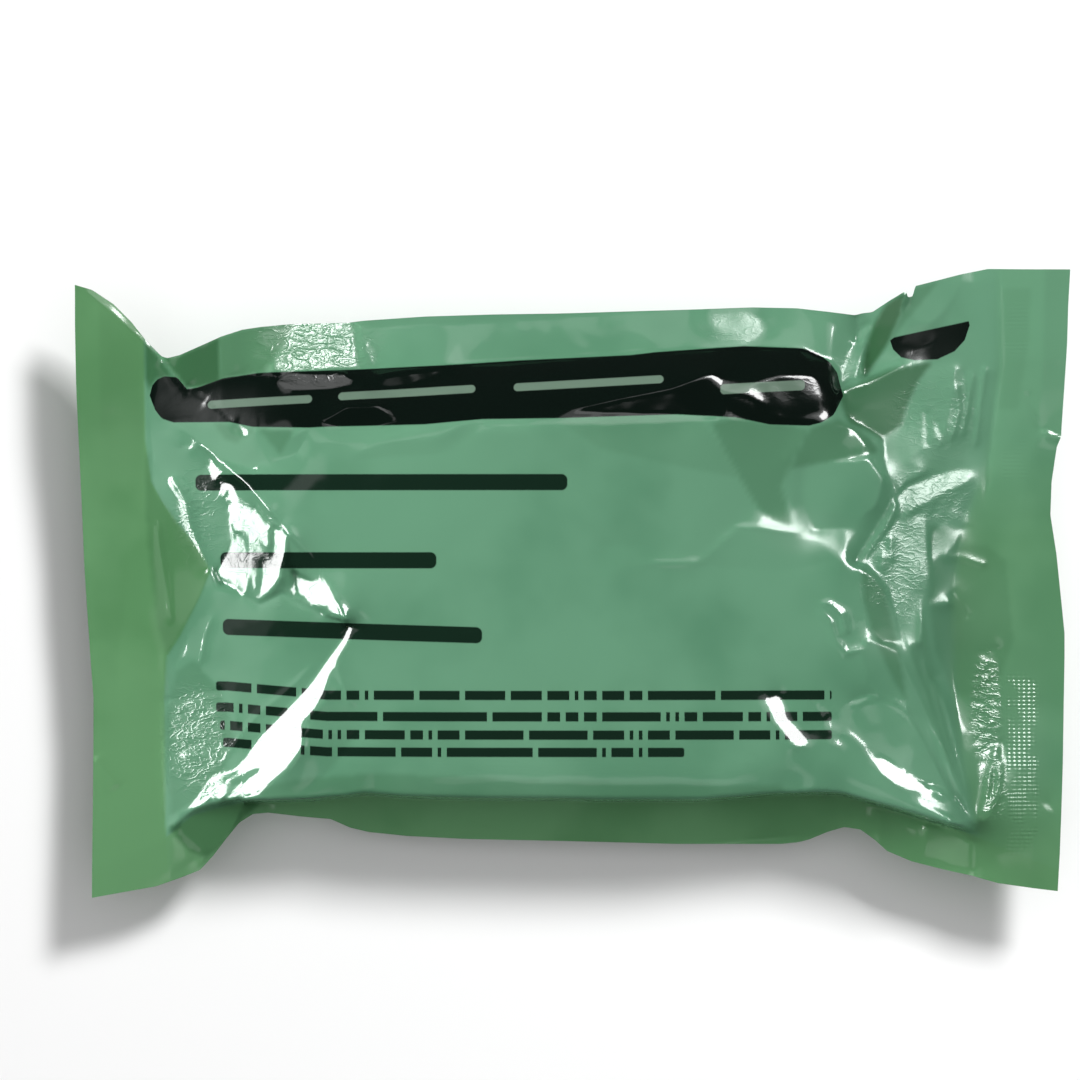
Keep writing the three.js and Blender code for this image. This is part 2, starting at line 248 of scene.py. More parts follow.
def pillowShare(x, y):
    column = toColumn(x)
    low = y - edgeAt(lowerFoot, column)
    high = edgeAt(upperFoot, column) - y
    lower = 0.9 * wallRise(low, film["lowerWall"]) + 0.1 * wallRise(low, 7)
    upper = 1 - (1 - clamp(high / film["upperShoulder"])) ** 1.8
    return betweenEnds(x, toRow(y)) * lower * upper


def frontHeight(x, y):
    fall = clamp(np.abs(x - film["crownMiddle"]) / film["crownReach"]) ** 2.2
    return mix(weldLevel(x, y), film["faceHeight"] + film["crown"] * (1 - fall), pillowShare(x, y))


def backHeight(x, y):
    column = toColumn(x)
    low = wallRise(y - edgeAt(lowerFoot, column), film["backWall"])
    high = wallRise(edgeAt(upperFoot, column) - y, film["backWall"])
    return mix(weldLevel(x, y), 0.0, betweenEnds(x, toRow(y)) * low * high)


# Facets of the front film: the way each one faces (0 right, 90 to the upper edge, 180 left, 270 to the
# lower edge) and its tilt, both in degrees, inside its outline of columns and rows; pull makes one stiffer
facets = namedRows("facing tilt pull at", [
    # left end
    (188, 18, 1, [(146, 430), (180, 430), (200, 444), (215, 462), (226, 500), (234, 540), (216, 568),
        (210, 566), (202, 551), (188, 534), (176, 520), (163, 502), (152, 482), (147, 450)]),
    (183, 33, 1, [(236, 538), (228, 553), (217, 573), (222, 583), (236, 586), (233, 560)]),
    (172, 35, 1, [(239, 535), (246, 542), (252, 566), (250, 586), (243, 598), (237, 586), (233, 560)]),
    (190, 29, 1, [(250, 530), (262, 540), (262, 562), (257, 590), (252, 586), (252, 560)]),
    (176, 34, 1, [(229, 501), (237, 520), (250, 521), (258, 508), (266, 519), (272, 536), (271, 550),
        (262, 540), (252, 529), (238, 533), (232, 520)]),
    (186, 34, 1, [(276, 529), (289, 531), (290, 546), (285, 566), (279, 560), (276, 545)]),
    (178, 33, 1, [(263, 563), (283, 561), (284, 576), (272, 591), (262, 600)]),
    (178, 33, 1, [(296, 572), (305, 578), (318, 582), (330, 590), (338, 600), (325, 607), (310, 600),
        (299, 590)]),
    (178, 33, 1, [(331, 603), (338, 603), (349, 618), (326, 614)]),
    (215, 16, 1, [(262, 508), (282, 523), (296, 543), (318, 562), (345, 602), (330, 588), (306, 575),
        (292, 560), (292, 535), (276, 525)]),
    (176, 34, 1, [(205, 465), (224, 464), (221, 472), (215, 482), (212, 474)]),
    (176, 34, 1, [(218, 491), (227, 490), (225, 496), (219, 495)]),
    (176, 34, 1, [(183, 446), (196, 446), (195, 451), (184, 450)]),
    (205, 13, 1, [(222, 590), (262, 604), (290, 594), (322, 612), (345, 624), (346, 640), (331, 659),
        (319, 674), (305, 692), (290, 707), (278, 720), (262, 735), (248, 754), (240, 740), (236, 720),
        (225, 690), (190, 660), (190, 630), (206, 604)]),
    (150, 33, 1, [(356, 627), (351, 640), (343, 653), (332, 672), (327, 690), (314, 714), (310, 722),
        (308, 742), (300, 755), (288, 769), (274, 779), (260, 786), (240, 794), (228, 798), (240, 784),
        (258, 775), (268, 768), (262, 764), (250, 768), (240, 774), (238, 770), (248, 754), (262, 735),
        (278, 720), (290, 707), (305, 692), (319, 674), (330, 658), (343, 640), (350, 626)]),
    (155, 33, 1, [(214, 774), (224, 777), (230, 790), (221, 799), (213, 792), (207, 800), (193, 809),
        (200, 799), (208, 788)]),
    (180, 20, 1, [(167, 700), (225, 690), (236, 720), (240, 740), (248, 754), (238, 770), (214, 774),
        (196, 800), (170, 818)]),
    (212, 14, 1, [(240, 776), (250, 768), (262, 764), (268, 768), (258, 775), (240, 784), (230, 796),
        (226, 780)]),
    (262, 14, 1, [(196, 812), (225, 803), (244, 800), (232, 828), (213, 850), (190, 846), (176, 833),
        (182, 820)]),
    (300, 8, 1, [(305, 720), (340, 690), (360, 730), (330, 770), (300, 790), (262, 792), (290, 768),
        (306, 745)]),
    (205, 12, 1, [(212, 571), (218, 582), (222, 590), (206, 604), (190, 632), (178, 660), (172, 695),
        (165, 695), (167, 655), (180, 634), (200, 598)]),
    (52, 16, 1, [(84, 291), (95, 292), (115, 306), (133, 324), (146, 342), (163, 360), (186, 385),
        (182, 386), (160, 362), (140, 340), (118, 320), (98, 303)]),
    # upper left: the curled margin and the folds through the dark band
    (250, 8, 1, [(176, 362), (203, 350), (232, 338), (236, 372), (215, 383), (196, 388), (186, 384)]),
    (210, 12, 1, [(146, 350), (166, 362), (186, 388), (205, 396), (236, 420), (210, 424), (160, 422),
        (146, 402)]),
    (195, 15, 1, [(146, 402), (160, 422), (210, 424), (236, 420), (256, 436), (262, 462), (252, 470),
        (222, 461), (200, 444), (180, 430), (146, 430)]),
    (48, 20, 4, [(299, 326), (352, 323), (359, 368), (322, 371), (290, 373), (270, 373), (284, 352)]),
    (50, 20, 1, [(362, 332), (376, 352), (378, 368), (370, 362), (364, 348)]),
    (58, 15.5, 1, [(705, 313), (713, 320), (730, 322), (745, 318), (763, 321), (766, 330), (757, 341),
        (742, 340), (733, 332), (716, 333), (707, 326)]),
    (60, 14, 1, [(290, 376), (345, 375), (355, 388), (330, 392), (300, 392), (275, 384)]),
    (200, 5, 1, [(254, 360), (276, 360), (274, 376), (256, 380)]),
    (120, 12, 1, [(378, 378), (450, 369), (440, 380), (405, 390), (372, 392)]),
    (270, 7, 1, [(326, 424), (348, 409), (380, 408), (398, 424), (380, 430), (345, 430)]),
    (285, 8, 1, [(570, 414), (620, 402), (670, 392), (700, 380), (714, 376), (708, 400), (715, 418),
        (660, 416)]),
    (240, 6, 1, [(722, 395), (745, 398), (770, 410), (768, 424), (735, 418), (718, 402)]),
    (8, 9, 2, [(752, 386), (776, 378), (812, 378), (820, 400), (817, 414), (792, 422), (766, 412)]),
    (250, 8, 1, [(290, 442), (311, 431), (298, 456)]),
    (20, 5, 1, [(258, 432), (292, 436), (296, 456), (276, 462), (252, 448)]),
    # face
    (330, 8, 1, [(708, 424), (721, 450), (736, 476), (755, 507), (768, 518), (776, 500), (772, 465),
        (774, 430)]),
    (20, 5, 1, [(776, 432), (803, 430), (781, 466), (776, 482), (790, 522), (790, 531), (768, 519),
        (776, 500), (772, 465)]),
    (160, 6, 1, [(803, 432), (808, 432), (786, 470), (781, 468)]),
    (340, 7, 1, [(806, 432), (850, 428), (868, 455), (835, 461), (800, 466), (786, 468)]),
    (345, 13, 1, [(842, 392), (865, 384), (900, 368), (932, 362), (918, 380), (906, 404), (900, 426),
        (880, 438), (866, 430), (852, 424), (840, 410)]),
    (120, 5, 1, [(600, 546), (660, 548), (694, 561), (652, 566), (600, 570)]),
    (120, 7, 1, [(697, 562), (733, 525), (752, 524), (770, 531), (797, 533), (770, 536), (748, 532),
        (735, 533)]),
    (300, 2.5, 1, [(700, 566), (738, 534), (770, 538), (815, 540), (835, 560), (780, 572)]),
    (300, 3, 30, [(800, 470), (866, 462), (880, 480), (872, 506), (845, 528), (812, 530), (800, 505)]),
    (120, 4, 1, [(878, 452), (905, 462), (925, 470), (905, 482), (893, 492), (884, 478)]),
    (10, 8, 1, [(836, 560), (856, 572), (858, 600), (866, 626), (850, 650), (838, 640), (834, 600)]),
    (350, 13, 1, [(862, 640), (880, 645), (893, 652), (903, 700), (880, 696), (862, 680)]),
    (270, 4, 1, [(352, 462), (382, 444), (442, 442), (458, 428), (480, 424), (470, 440), (440, 456),
        (390, 458)]),
    (285, 9, 1, [(774, 790), (784, 770), (798, 766), (796, 782), (800, 790)]),
    (280, 6, 1, [(320, 794), (350, 778), (380, 768), (380, 784), (350, 792)]),
    # right end
    (240, 20, 1, [(867, 372), (862, 377), (864, 358), (872, 328), (884, 306), (904, 294), (898, 318),
        (886, 344)]),
    (110, 13, 1, [(836, 388), (840, 372), (850, 356), (858, 330), (868, 326), (862, 350), (856, 372),
        (846, 384)]),
    (110, 11, 1, [(866, 378), (872, 366), (890, 350), (903, 306), (914, 302), (900, 345), (906, 354),
        (886, 368)]),
    (130, 4, 14, [(906, 288), (914, 276), (958, 262), (958, 282), (950, 300), (926, 326), (912, 322),
        (908, 304)]),
    (200, 4, 1, [(960, 286), (988, 280), (992, 320), (940, 330)]),
    (150, 7, 1, [(932, 366), (952, 366), (950, 430), (930, 440), (905, 460), (884, 462), (880, 442),
        (902, 428), (908, 404), (918, 382)]),
    (355, 18, 1, [(952, 372), (962, 366), (958, 400), (950, 440), (938, 445), (948, 410)]),
    (62, 15, 1, [(893, 500), (905, 487), (930, 478), (950, 472), (968, 470), (966, 482), (948, 490),
        (930, 500), (912, 508), (900, 520)]),
    (200, 4, 1, [(940, 330), (992, 320), (994, 372), (962, 372), (952, 366), (932, 366), (930, 350)]),
    (160, 14, 1, [(889, 499), (893, 505), (884, 526), (872, 541), (862, 556), (855, 563), (851, 560),
        (865, 540), (880, 515)]),
    (40, 13, 1, [(893, 520), (905, 516), (922, 515), (926, 575), (905, 590), (888, 590), (872, 572),
        (862, 562), (878, 542)]),
    (345, 12, 1, [(930, 513), (945, 513), (958, 519), (967, 527), (955, 531), (940, 523)]),
    (200, 4, 1, [(934, 526), (958, 532), (950, 548), (938, 556), (928, 560), (928, 535)]),
    (0, 16, 1, [(856, 570), (870, 578), (880, 592), (890, 612), (895, 640), (880, 642), (866, 626),
        (858, 600)]),
    (40, 13, 1, [(886, 592), (926, 578), (920, 610), (916, 642), (900, 648), (894, 625)]),
    (350, 24, 1, [(924, 578), (928, 578), (926, 605), (929, 640), (935, 678), (931, 678), (925, 640),
        (921, 606)]),
    (100, 10, 1, [(925, 598), (945, 597), (946, 604), (926, 606)]),
    (50, 12, 1, [(850, 706), (880, 699), (905, 716), (925, 750), (945, 790), (920, 780), (886, 758),
        (864, 744), (846, 730)]),
    (0, 18, 1, [(893, 650), (912, 690), (934, 738), (957, 785), (971, 823), (948, 792), (925, 748),
        (904, 708)]),
    (60, 12, 1, [(916, 650), (931, 690), (944, 740), (960, 785), (971, 820), (952, 775), (932, 720)]),
    (0, 18, 1, [(931, 682), (944, 712), (955, 755), (966, 795), (973, 822), (957, 775), (944, 730)]),
    (47, 21, 6, [(868, 757), (876, 755), (886, 760), (902, 772), (918, 783), (923, 791), (913, 792),
        (894, 785), (876, 771)]),
    (47, 18, 1, [(921, 789), (945, 802), (968, 819), (960, 819), (940, 808), (916, 795)]),
    (50, 19, 1, [(988, 745), (1001, 740), (1002, 770), (993, 800), (980, 820), (977, 812), (986, 790),
        (990, 765)]),
    (50, 11, 1, [(980, 652), (998, 650), (1000, 740), (984, 740)]),
    (48, 19, 1, [(838, 727), (851, 731), (862, 742), (872, 757), (866, 757), (858, 744), (848, 735)]),
    (50, 21, 1, [(772, 692), (781, 696), (781, 708), (780, 714), (788, 719), (799, 731), (800, 743),
        (789, 745), (780, 733), (769, 720), (765, 709), (768, 699)]),
    (48, 20, 1, [(743, 754), (748, 756), (750, 760), (745, 760)]),
    (48, 20, 1, [(834, 735), (840, 744), (830, 744)]),
    (48, 20, 1, [(820, 716), (827, 717), (827, 727), (832, 732), (823, 727)]),
    (70, 19, 1, [(846, 700), (862, 695), (873, 694), (850, 705)]),
    (40, 20, 1, [(1040, 803), (1047, 802), (1052, 814), (1060, 818), (1044, 811)]),
    (60, 18, 1, [(1040, 430), (1048, 432), (1060, 440), (1046, 436)]),
    (250, 8, 4, [(925, 828), (955, 836), (975, 844), (975, 870), (950, 866), (925, 855)]),
    (262, 10, 1, [(806, 786), (842, 784), (900, 800), (950, 818), (900, 806), (842, 791)]),
])


def insidePolygon(x, y, points):
    inside = np.zeros(x.shape, bool)
    for (ax, ay), (bx, by) in zip(points, points[1:] + points[:1]):
        if ay == by:
            continue
        crosses = (ay > y) != (by > y)
        inside ^= crosses & (x < (bx - ax) * (y - ay) / (by - ay) + ax)
    return inside


# Share of a few shifted places that lie inside, so that the outline has a soft edge.
def softInside(x, y, points, shifts):
    return sum(insidePolygon(x + a, y + b, points) for a in shifts for b in shifts) / len(shifts) ** 2


def onFilm(outline):
    return [(float(toX(c)), float(toY(r))) for c, r in outline]


# All in mm but facetPull, which is how much stiffer a facet of 25 degrees is than loose film; reach is how
# far a facet lifts the film around it, and turns are those of the solver
grid = {"spacing": 0.3, "margin": 5.0, "facetPull": 60.0, "reach": 26.0, "turns": 90}
gridX = np.arange(packetLow[0] - grid["margin"], packetHigh[0] + grid["margin"], grid["spacing"])
gridY = np.arange(packetLow[1] - grid["margin"], packetHigh[1] + grid["margin"], grid["spacing"])


# A function that reads the grid at any place.
def fromGrid(values):
    def read(x, y):
        u = clamp((x - gridX[0]) / grid["spacing"], 0, len(gridX) - 1.001)
        v = clamp((y - gridY[0]) / grid["spacing"], 0, len(gridY) - 1.001)
        i, j = u.astype(int), v.astype(int)
        u, v = u - i, v - j
        near = mix(values[i, j], values[i + 1, j], u)
        far = mix(values[i, j + 1], values[i + 1, j + 1], u)
        return mix(near, far, v)

    return read


# Tilts the base so that each facet faces its way, and bends the film between them as little as it can: a
# least-squares fit of the slopes, solved by conjugate gradients.
def facetHeights(base, rows):
    x, y = np.meshgrid(gridX, gridY, indexing="ij")
    step = grid["spacing"]
    slopeX = (np.roll(base, -1, 0) - base) / step
    slopeY = (np.roll(base, -1, 1) - base) / step
    changeX, changeY = np.zeros_like(base), np.zeros_like(base)
    weight = np.ones_like(base)
    for row in rows:
        points = onFilm(row["at"])
        xs, ys = zip(*points)
        i0, i1 = np.searchsorted(gridX, [min(xs) - 1, max(xs) + 1])
        j0, j1 = np.searchsorted(gridY, [min(ys) - 1, max(ys) + 1])
        box = (slice(i0, i1), slice(j0, j1))
        inside = softInside(x[box], y[box], points, (-0.08, 0.08))
        slope = -math.tan(math.radians(row["tilt"]))
        facing = math.radians(row["facing"])
        changeX[box] = mix(changeX[box], slope * math.cos(facing) - slopeX[box], inside)
        changeY[box] = mix(changeY[box], slope * math.sin(facing) - slopeY[box], inside)
        stiffness = 1 + grid["facetPull"] * row["pull"] * (row["tilt"] / 25) ** 2
        weight[box] = mix(weight[box], stiffness, inside)
    pull = 1 / grid["reach"] ** 2

    def spread(fieldX, fieldY):
        return (fieldX - np.roll(fieldX, 1, 0) + fieldY - np.roll(fieldY, 1, 1)) / step

    def apply(u):
        risesX, risesY = np.roll(u, -1, 0) - u, np.roll(u, -1, 1) - u
        return pull * u - spread(weight * risesX / step, weight * risesY / step)

    waveX = 2 - 2 * np.cos(2 * math.pi * np.fft.fftfreq(len(gridX)))[:, None]
    waveY = 2 - 2 * np.cos(2 * math.pi * np.fft.rfftfreq(len(gridY)))[None, :]
    guess = 1 / (pull + 2.5 * (waveX + waveY) / step ** 2)

    def rough(r):
        return np.fft.irfft2(np.fft.rfft2(r) * guess, s=r.shape)

    right = -spread(weight * changeX, weight * changeY)
    u = np.zeros_like(base)
    rest = right - apply(u)
    ready = rough(rest)
    way = ready.copy()
    size = (rest * ready).sum()
    for _ in range(grid["turns"]):
        pushed = apply(way)
        share = size / (way * pushed).sum()
        u += share * way
        rest -= share * pushed
        ready = rough(rest)
        newSize = (rest * ready).sum()
        way = ready + newSize / size * way
        size = newSize
    print("film: facets moved it by", round(float(u.min()), 1), "to", round(float(u.max()), 1), "mm")
    return base + u


# Thin creases along their columns and rows: each stands up by its height in mm, or down where that is
# negative, and falls off over its width in mm
creases = namedRows("height width at", [
    (0.13, 0.5, [(183, 430), (198, 441), (215, 455), (246, 477), (262, 506), (284, 526), (318, 562),
        (335, 588), (352, 625)]),
    (0.18, 0.5, [(318, 662), (290, 690), (262, 712), (240, 738), (222, 765)]),
    (0.3, 0.6, [(339, 660), (346, 682), (356, 704)]),
    (0.5, 0.6, [(173, 478), (187, 500), (192, 526), (202, 548), (214, 572)]),
    (0.3, 0.5, [(172, 478), (180, 484), (187, 493)]),
    (0.25, 0.6, [(158, 520), (163, 560), (170, 600), (173, 625)]),
    (0.3, 0.5, [(214, 618), (208, 634), (202, 664)]),
    (0.3, 0.5, [(165, 656), (165, 740), (167, 824)]),
    (0.15, 0.5, [(147, 345), (147, 440), (151, 478)]),
    (0.4, 0.7, [(163, 359), (176, 374), (188, 388)]),
    (-0.5, 0.8, [(188, 388), (206, 398), (232, 420), (249, 437)]),
    (0.4, 0.7, [(206, 402), (225, 416), (240, 424)]),
    (-0.4, 0.8, [(216, 577), (240, 592), (262, 604), (284, 592), (322, 612), (348, 622)]),
    (0.14, 0.5, [(838, 388), (862, 379), (885, 367), (905, 357), (925, 350)]),
    (-0.6, 0.7, [(855, 316), (856, 342)]),
    (0.12, 0.6, [(855, 425), (862, 432), (868, 442), (877, 449), (874, 456), (862, 458), (858, 450),
        (866, 443)]),
    (0.2, 0.6, [(803, 431), (781, 466)]),
    (0.22, 0.7, [(640, 563), (696, 563), (735, 527), (752, 528), (797, 533)]),
    (0.42, 0.5, [(817, 602), (826, 604), (838, 614), (843, 634)]),
    (0.42, 0.5, [(816, 608), (826, 620), (832, 640), (842, 652), (858, 648)]),
    (0.25, 0.5, [(799, 695), (812, 708), (822, 718)]),
    (0.3, 0.6, [(888, 535), (888, 562)]),
    (0.3, 0.6, [(880, 552), (879, 570)]),
    (0.4, 0.7, [(918, 600), (919, 640), (925, 690), (945, 760), (972, 824)]),
    (0.35, 0.7, [(904, 640), (925, 700), (948, 770), (972, 824)]),
    (0.3, 0.7, [(940, 690), (956, 750), (973, 824)]),
    (-0.2, 0.6, [(973, 828), (973, 876)]),
    (0.3, 0.6, [(978, 815), (986, 780), (995, 742)]),
    (0.3, 0.6, [(984, 815), (994, 790), (1000, 758)]),
    (-0.3, 0.6, [(990, 816), (1001, 796)]),
    (0.45, 0.6, [(972, 372), (966, 410), (960, 438)]),
    (0.45, 0.6, [(984, 366), (978, 410), (974, 448)]),
    (0.4, 0.6, [(954, 384), (958, 410), (950, 440)]),
    (0.09, 0.5, [(84, 289), (110, 309), (135, 332), (160, 357)]),
    (-0.3, 0.6, [(925, 410), (926, 448)]),
    (-0.3, 0.6, [(934, 420), (946, 448)]),
    (-0.35, 0.7, [(996, 275), (999, 366), (992, 416), (989, 450), (984, 500)]),
    (-0.3, 0.6, [(1026, 392), (1037, 428), (1042, 432)]),
    (0.35, 0.6, [(1042, 432), (1059, 440)]),
    (-0.3, 0.6, [(950, 590), (962, 606), (968, 618)]),
    (0.3, 0.6, [(940, 556), (962, 558), (985, 566)]),
    (0.3, 1.2, [(95, 757), (118, 787)]),
    (0.3, 0.8, [(175, 830), (196, 852), (206, 862)]),
])


def creaseHeights(rows, x, y):
    total = np.zeros_like(x)
    for crease in rows:
        points = np.array(crease["at"], float)
        points = np.stack([toX(points[:, 0]), toY(points[:, 1])], axis=1)
        low, high = points.min(0) - 6 * crease["width"], points.max(0) + 6 * crease["width"]
        i0, i1 = np.searchsorted(gridX, [low[0], high[0]])
        j0, j1 = np.searchsorted(gridY, [low[1], high[1]])
        box = (slice(i0, i1), slice(j0, j1))
        px, py = x[box], y[box]
        runs = np.linalg.norm(np.diff(points, axis=0), axis=1)
        starts = np.concatenate([[0], np.cumsum(runs)])
        best = np.full(px.shape, 1e9)
        along = np.zeros_like(px)
        for index, run in enumerate(runs):
            a, b = points[index], points[index + 1]
            share = clamp(((px - a[0]) * (b[0] - a[0]) + (py - a[1]) * (b[1] - a[1])) / run ** 2)
            distance = np.hypot(px - mix(a[0], b[0], share), py - mix(a[1], b[1], share))
            nearer = distance < best
            best = np.where(nearer, distance, best)
            along = np.where(nearer, (starts[index] + share * run) / starts[-1], along)
        fade = smooth(along / 0.14 + 0.3) * smooth((1 - along) / 0.14 + 0.3)
        total[box] += crease["height"] * fade * np.exp(-best / crease["width"])
    return total


# Where the film is crumpled: middle and reach in pixels, height in mm, size of a crumple in mm, how much
# longer it is along its lie (in degrees) than across, how far it is ridged and how far it is dulled by
# wrinkles too fine to see
crumples = namedRows("at reach height facet lie stretch seed ridged dull", [
    ((252, 548), (34, 44), 0.16, 1.9, 100, 3.2, 3, 0.35, 0.8),
    ((196, 735), (32, 52), 0.12, 1.4, 20, 1.4, 8, 0.95, 0.45),
    ((300, 590), (44, 26), 0.06, 1.9, 140, 2.0, 21, 0.2, 0.5),
    ((200, 515), (26, 50), 0.1, 1.5, 120, 2.5, 31, 0.5, 0.5),
    ((928, 495), (44, 30), 0.1, 1.7, 60, 2.4, 5, 0.4, 1.0),
    ((940, 415), (46, 44), 0.12, 2.2, 80, 3.0, 13, 0.35, 0.7),
    ((895, 560), (36, 60), 0.1, 1.8, 95, 2.6, 34, 0.35, 0.7),
    ((322, 348), (66, 32), 0.035, 0.8, 175, 3.2, 55, 0.6, 0.3),
    ((735, 328), (34, 16), 0.03, 1.2, 170, 2.0, 89, 0.2, 1.0),
    ((225, 405), (54, 26), 0.035, 2.4, 150, 1.6, 17, 0.1, 0.8),
    ((985, 705), (14, 50), 0.2, 0.9, 40, 1.0, 2, 1.0, 0.2),
    ((992, 785), (12, 42), 0.2, 0.8, 75, 3.4, 6, 0.8, 0.3),
    ((790, 380), (56, 28), 0.15, 2.2, 120, 1.8, 12, 0.1, 0.3),
    ((850, 372), (24, 16), 0.12, 1.5, 60, 1.6, 71, 0.4, 0.9),
    ((222, 785), (28, 18), 0.06, 1.1, 60, 1.6, 44, 0.5, 0.3),
])

# Wider zones that are only dulled: middle, reach and how far
dullZones = namedRows("at reach dull", [
    ((925, 480), (62, 210), 0.95),
    ((1022, 760), (30, 130), 0.7),
    ((946, 812), (30, 20), 0.8),
    ((806, 532), (56, 24), 0.85),
    ((888, 642), (34, 18), 0.9),
])

# Painted shade: where shade falls in folds and hollows, under the curled margin and along the foot of the
# pillow,
# the film is painted darker and greener: how far, inside its outline of columns and rows
paintedShades = namedRows("deep at", [
    (0.85, [(165, 359), (182, 356), (203, 347), (222, 338), (221, 384), (200, 388), (188, 388),
        (176, 374)]),
    (0.4, [(222, 338), (244, 331), (263, 328), (296, 325), (282, 350), (266, 374), (225, 380), (221, 384)]),
    (0.85, [(147, 343), (163, 361), (184, 388), (172, 378), (158, 379), (151, 392), (147, 380)]),
    (0.35, [(148, 440), (152, 482), (163, 502), (188, 534), (212, 571), (202, 596), (182, 635), (168, 656),
        (158, 620), (150, 560), (146, 500)]),
    (0.65, [(168, 826), (196, 812), (228, 800), (262, 802), (246, 816), (226, 838), (208, 858),
        (188, 850)]),
    (0.35, [(262, 430), (297, 431), (283, 456)]),
    (0.3, [(215, 423), (258, 430), (240, 444), (228, 440)]),
    (0.38, [(708, 424), (735, 420), (806, 430), (786, 470), (778, 486), (790, 529), (768, 519), (755, 507),
        (736, 476), (721, 450)]),
    (0.14, [(560, 424), (700, 420), (722, 452), (736, 478), (690, 470), (600, 450)]),
    (0.9, [(867, 374), (861, 379), (863, 358), (871, 328), (884, 306), (904, 293), (898, 318), (886, 346)]),
    (0.35, [(904, 293), (914, 288), (938, 282), (906, 320), (886, 346), (898, 318)]),
    (0.68, [(836, 394), (866, 380), (888, 370), (932, 362), (918, 380), (906, 404), (900, 426), (880, 440),
        (866, 432), (846, 424), (840, 408)]),
    (0.45, [(806, 430), (835, 420), (850, 426), (868, 440), (876, 453), (835, 461), (800, 466),
        (786, 470)]),
    (0.4, [(858, 566), (880, 588), (893, 640), (903, 700), (890, 680), (872, 640), (860, 600)]),
    (0.14, [(916, 600), (926, 640), (940, 700), (962, 790), (940, 750), (920, 700), (905, 650)]),
    (0.22, [(926, 560), (945, 545), (985, 545), (1004, 560), (1012, 640), (1000, 676), (975, 700),
        (950, 690), (934, 650), (926, 600)]),
    (0.25, [(930, 526), (958, 530), (968, 540), (940, 552), (928, 548)]),
    (0.12, [(998, 290), (1028, 290), (1026, 340), (1016, 410), (998, 410)]),
    (0.25, [(196, 660), (222, 690), (236, 735), (225, 770), (196, 800), (172, 815), (166, 720),
        (178, 670)]),
    (0.3, [(240, 790), (300, 776), (380, 770), (560, 778), (776, 782), (790, 792), (560, 799), (368, 794),
        (312, 800)]),
])


# Sum of sharp-edged waves in turned directions, bent a little: flat facets between creases.
def foldedWaves(x, y, wave, seed, lie=0.0, stretch=1.0, count=5):
    draw = np.random.default_rng(seed)
    turn = math.radians(lie)
    u = (x * math.cos(turn) + y * math.sin(turn)) / stretch
    v = -x * math.sin(turn) + y * math.cos(turn)
    total = np.zeros_like(x)
    for _ in range(count):
        angle = draw.uniform(0, math.pi)
        size = wave * draw.uniform(0.7, 1.5)
        shift = draw.uniform(0, 10, 4)
        bend = 0.3 * np.sin(u / wave * 0.9 + shift[0]) + 0.3 * np.sin(v / wave * 0.8 + shift[1])
        phase = (u * math.cos(angle) + v * math.sin(angle)) / size + shift[2] + bend
        total += np.abs((phase % 2) - 1) - 0.5
    return total / math.sqrt(count)


def spot(x, y, at, reach):
    across = ((toColumn(x) - at[0]) / reach[0]) ** 2 + ((toRow(y) - at[1]) / reach[1]) ** 2
    return np.exp(-across ** 2)


slowWaves = [(0.12, 13.0, 41), (0.05, 6.0, 43)]  # all over the film: height and size in mm, and seed


def crumpleHeights(x, y):
    total = sum(height * foldedWaves(x, y, size, seed) for height, size, seed in slowWaves)
    for patch in crumples:
        waves = foldedWaves(x, y, patch["facet"], patch["seed"], patch["lie"], patch["stretch"])
        total += patch["height"] * waves * spot(x, y, patch["at"], patch["reach"])
    return total


def crumpleShare(x, y, which, rows):
    total = np.zeros_like(x)
    for patch in rows:
        total = np.maximum(total, patch[which] * spot(x, y, patch["at"], patch["reach"]))
    return total


# Share of painted shade at each place: darker and greener where shade falls.
def paintedShadeShare(x, y):
    total = np.zeros_like(x)
    for row in paintedShades:
        soft = softInside(x, y, onFilm(row["at"]), (-0.3, 0, 0.3))
        total = np.maximum(total, row["deep"] * soft)
    return total


# 1 on the margins that are welded flat, 0 on the pillow.
def weldShare(x, y):
    row, column = toRow(y), toColumn(x)
    left = smooth((lineAt(leftWeld, row) - x) / 0.5 + 0.5)
    right = readPairs(margins["rightTone"], row) * smooth((x - lineAt(rightWeld, row)) / 2.5 + 0.5)
    low = 0.9 * smooth((edgeAt(lowerFoot, column) - y) / 0.5 + 0.5)
    high = 0.35 * smooth((y - edgeAt(upperFoot, column)) / 0.8 + 0.5) * smooth((420 - column) / 160)
    return np.maximum(np.maximum(left, right), np.maximum(low, high))


# Points the same distance apart along the film, or closer where the spacing is finer.
def evenSpacing(places, axis, count, spacing=None):
    moved = np.moveaxis(places, axis, 1)
    out = np.empty((moved.shape[0], count, 3))
    for index, line in enumerate(moved):
        steps = np.linalg.norm(np.diff(line, axis=0), axis=1)
        if spacing is not None:
            middle = (line[1:] + line[:-1]) / 2
            steps = steps / spacing(middle)
        run = np.concatenate([[0], np.cumsum(steps)])
        want = np.linspace(0, run[-1], count)
        for part in range(3):
            out[index, :, part] = np.interp(want, run, line[:, part])
    return np.moveaxis(out, 1, axis)


def fineAtEnds(points):
    column = toColumn(points[:, 0])
    middle = smooth((column - 345) / 40) * smooth((850 - column) / 40)
    return mix(film["fineStep"], film["wideStep"], middle)


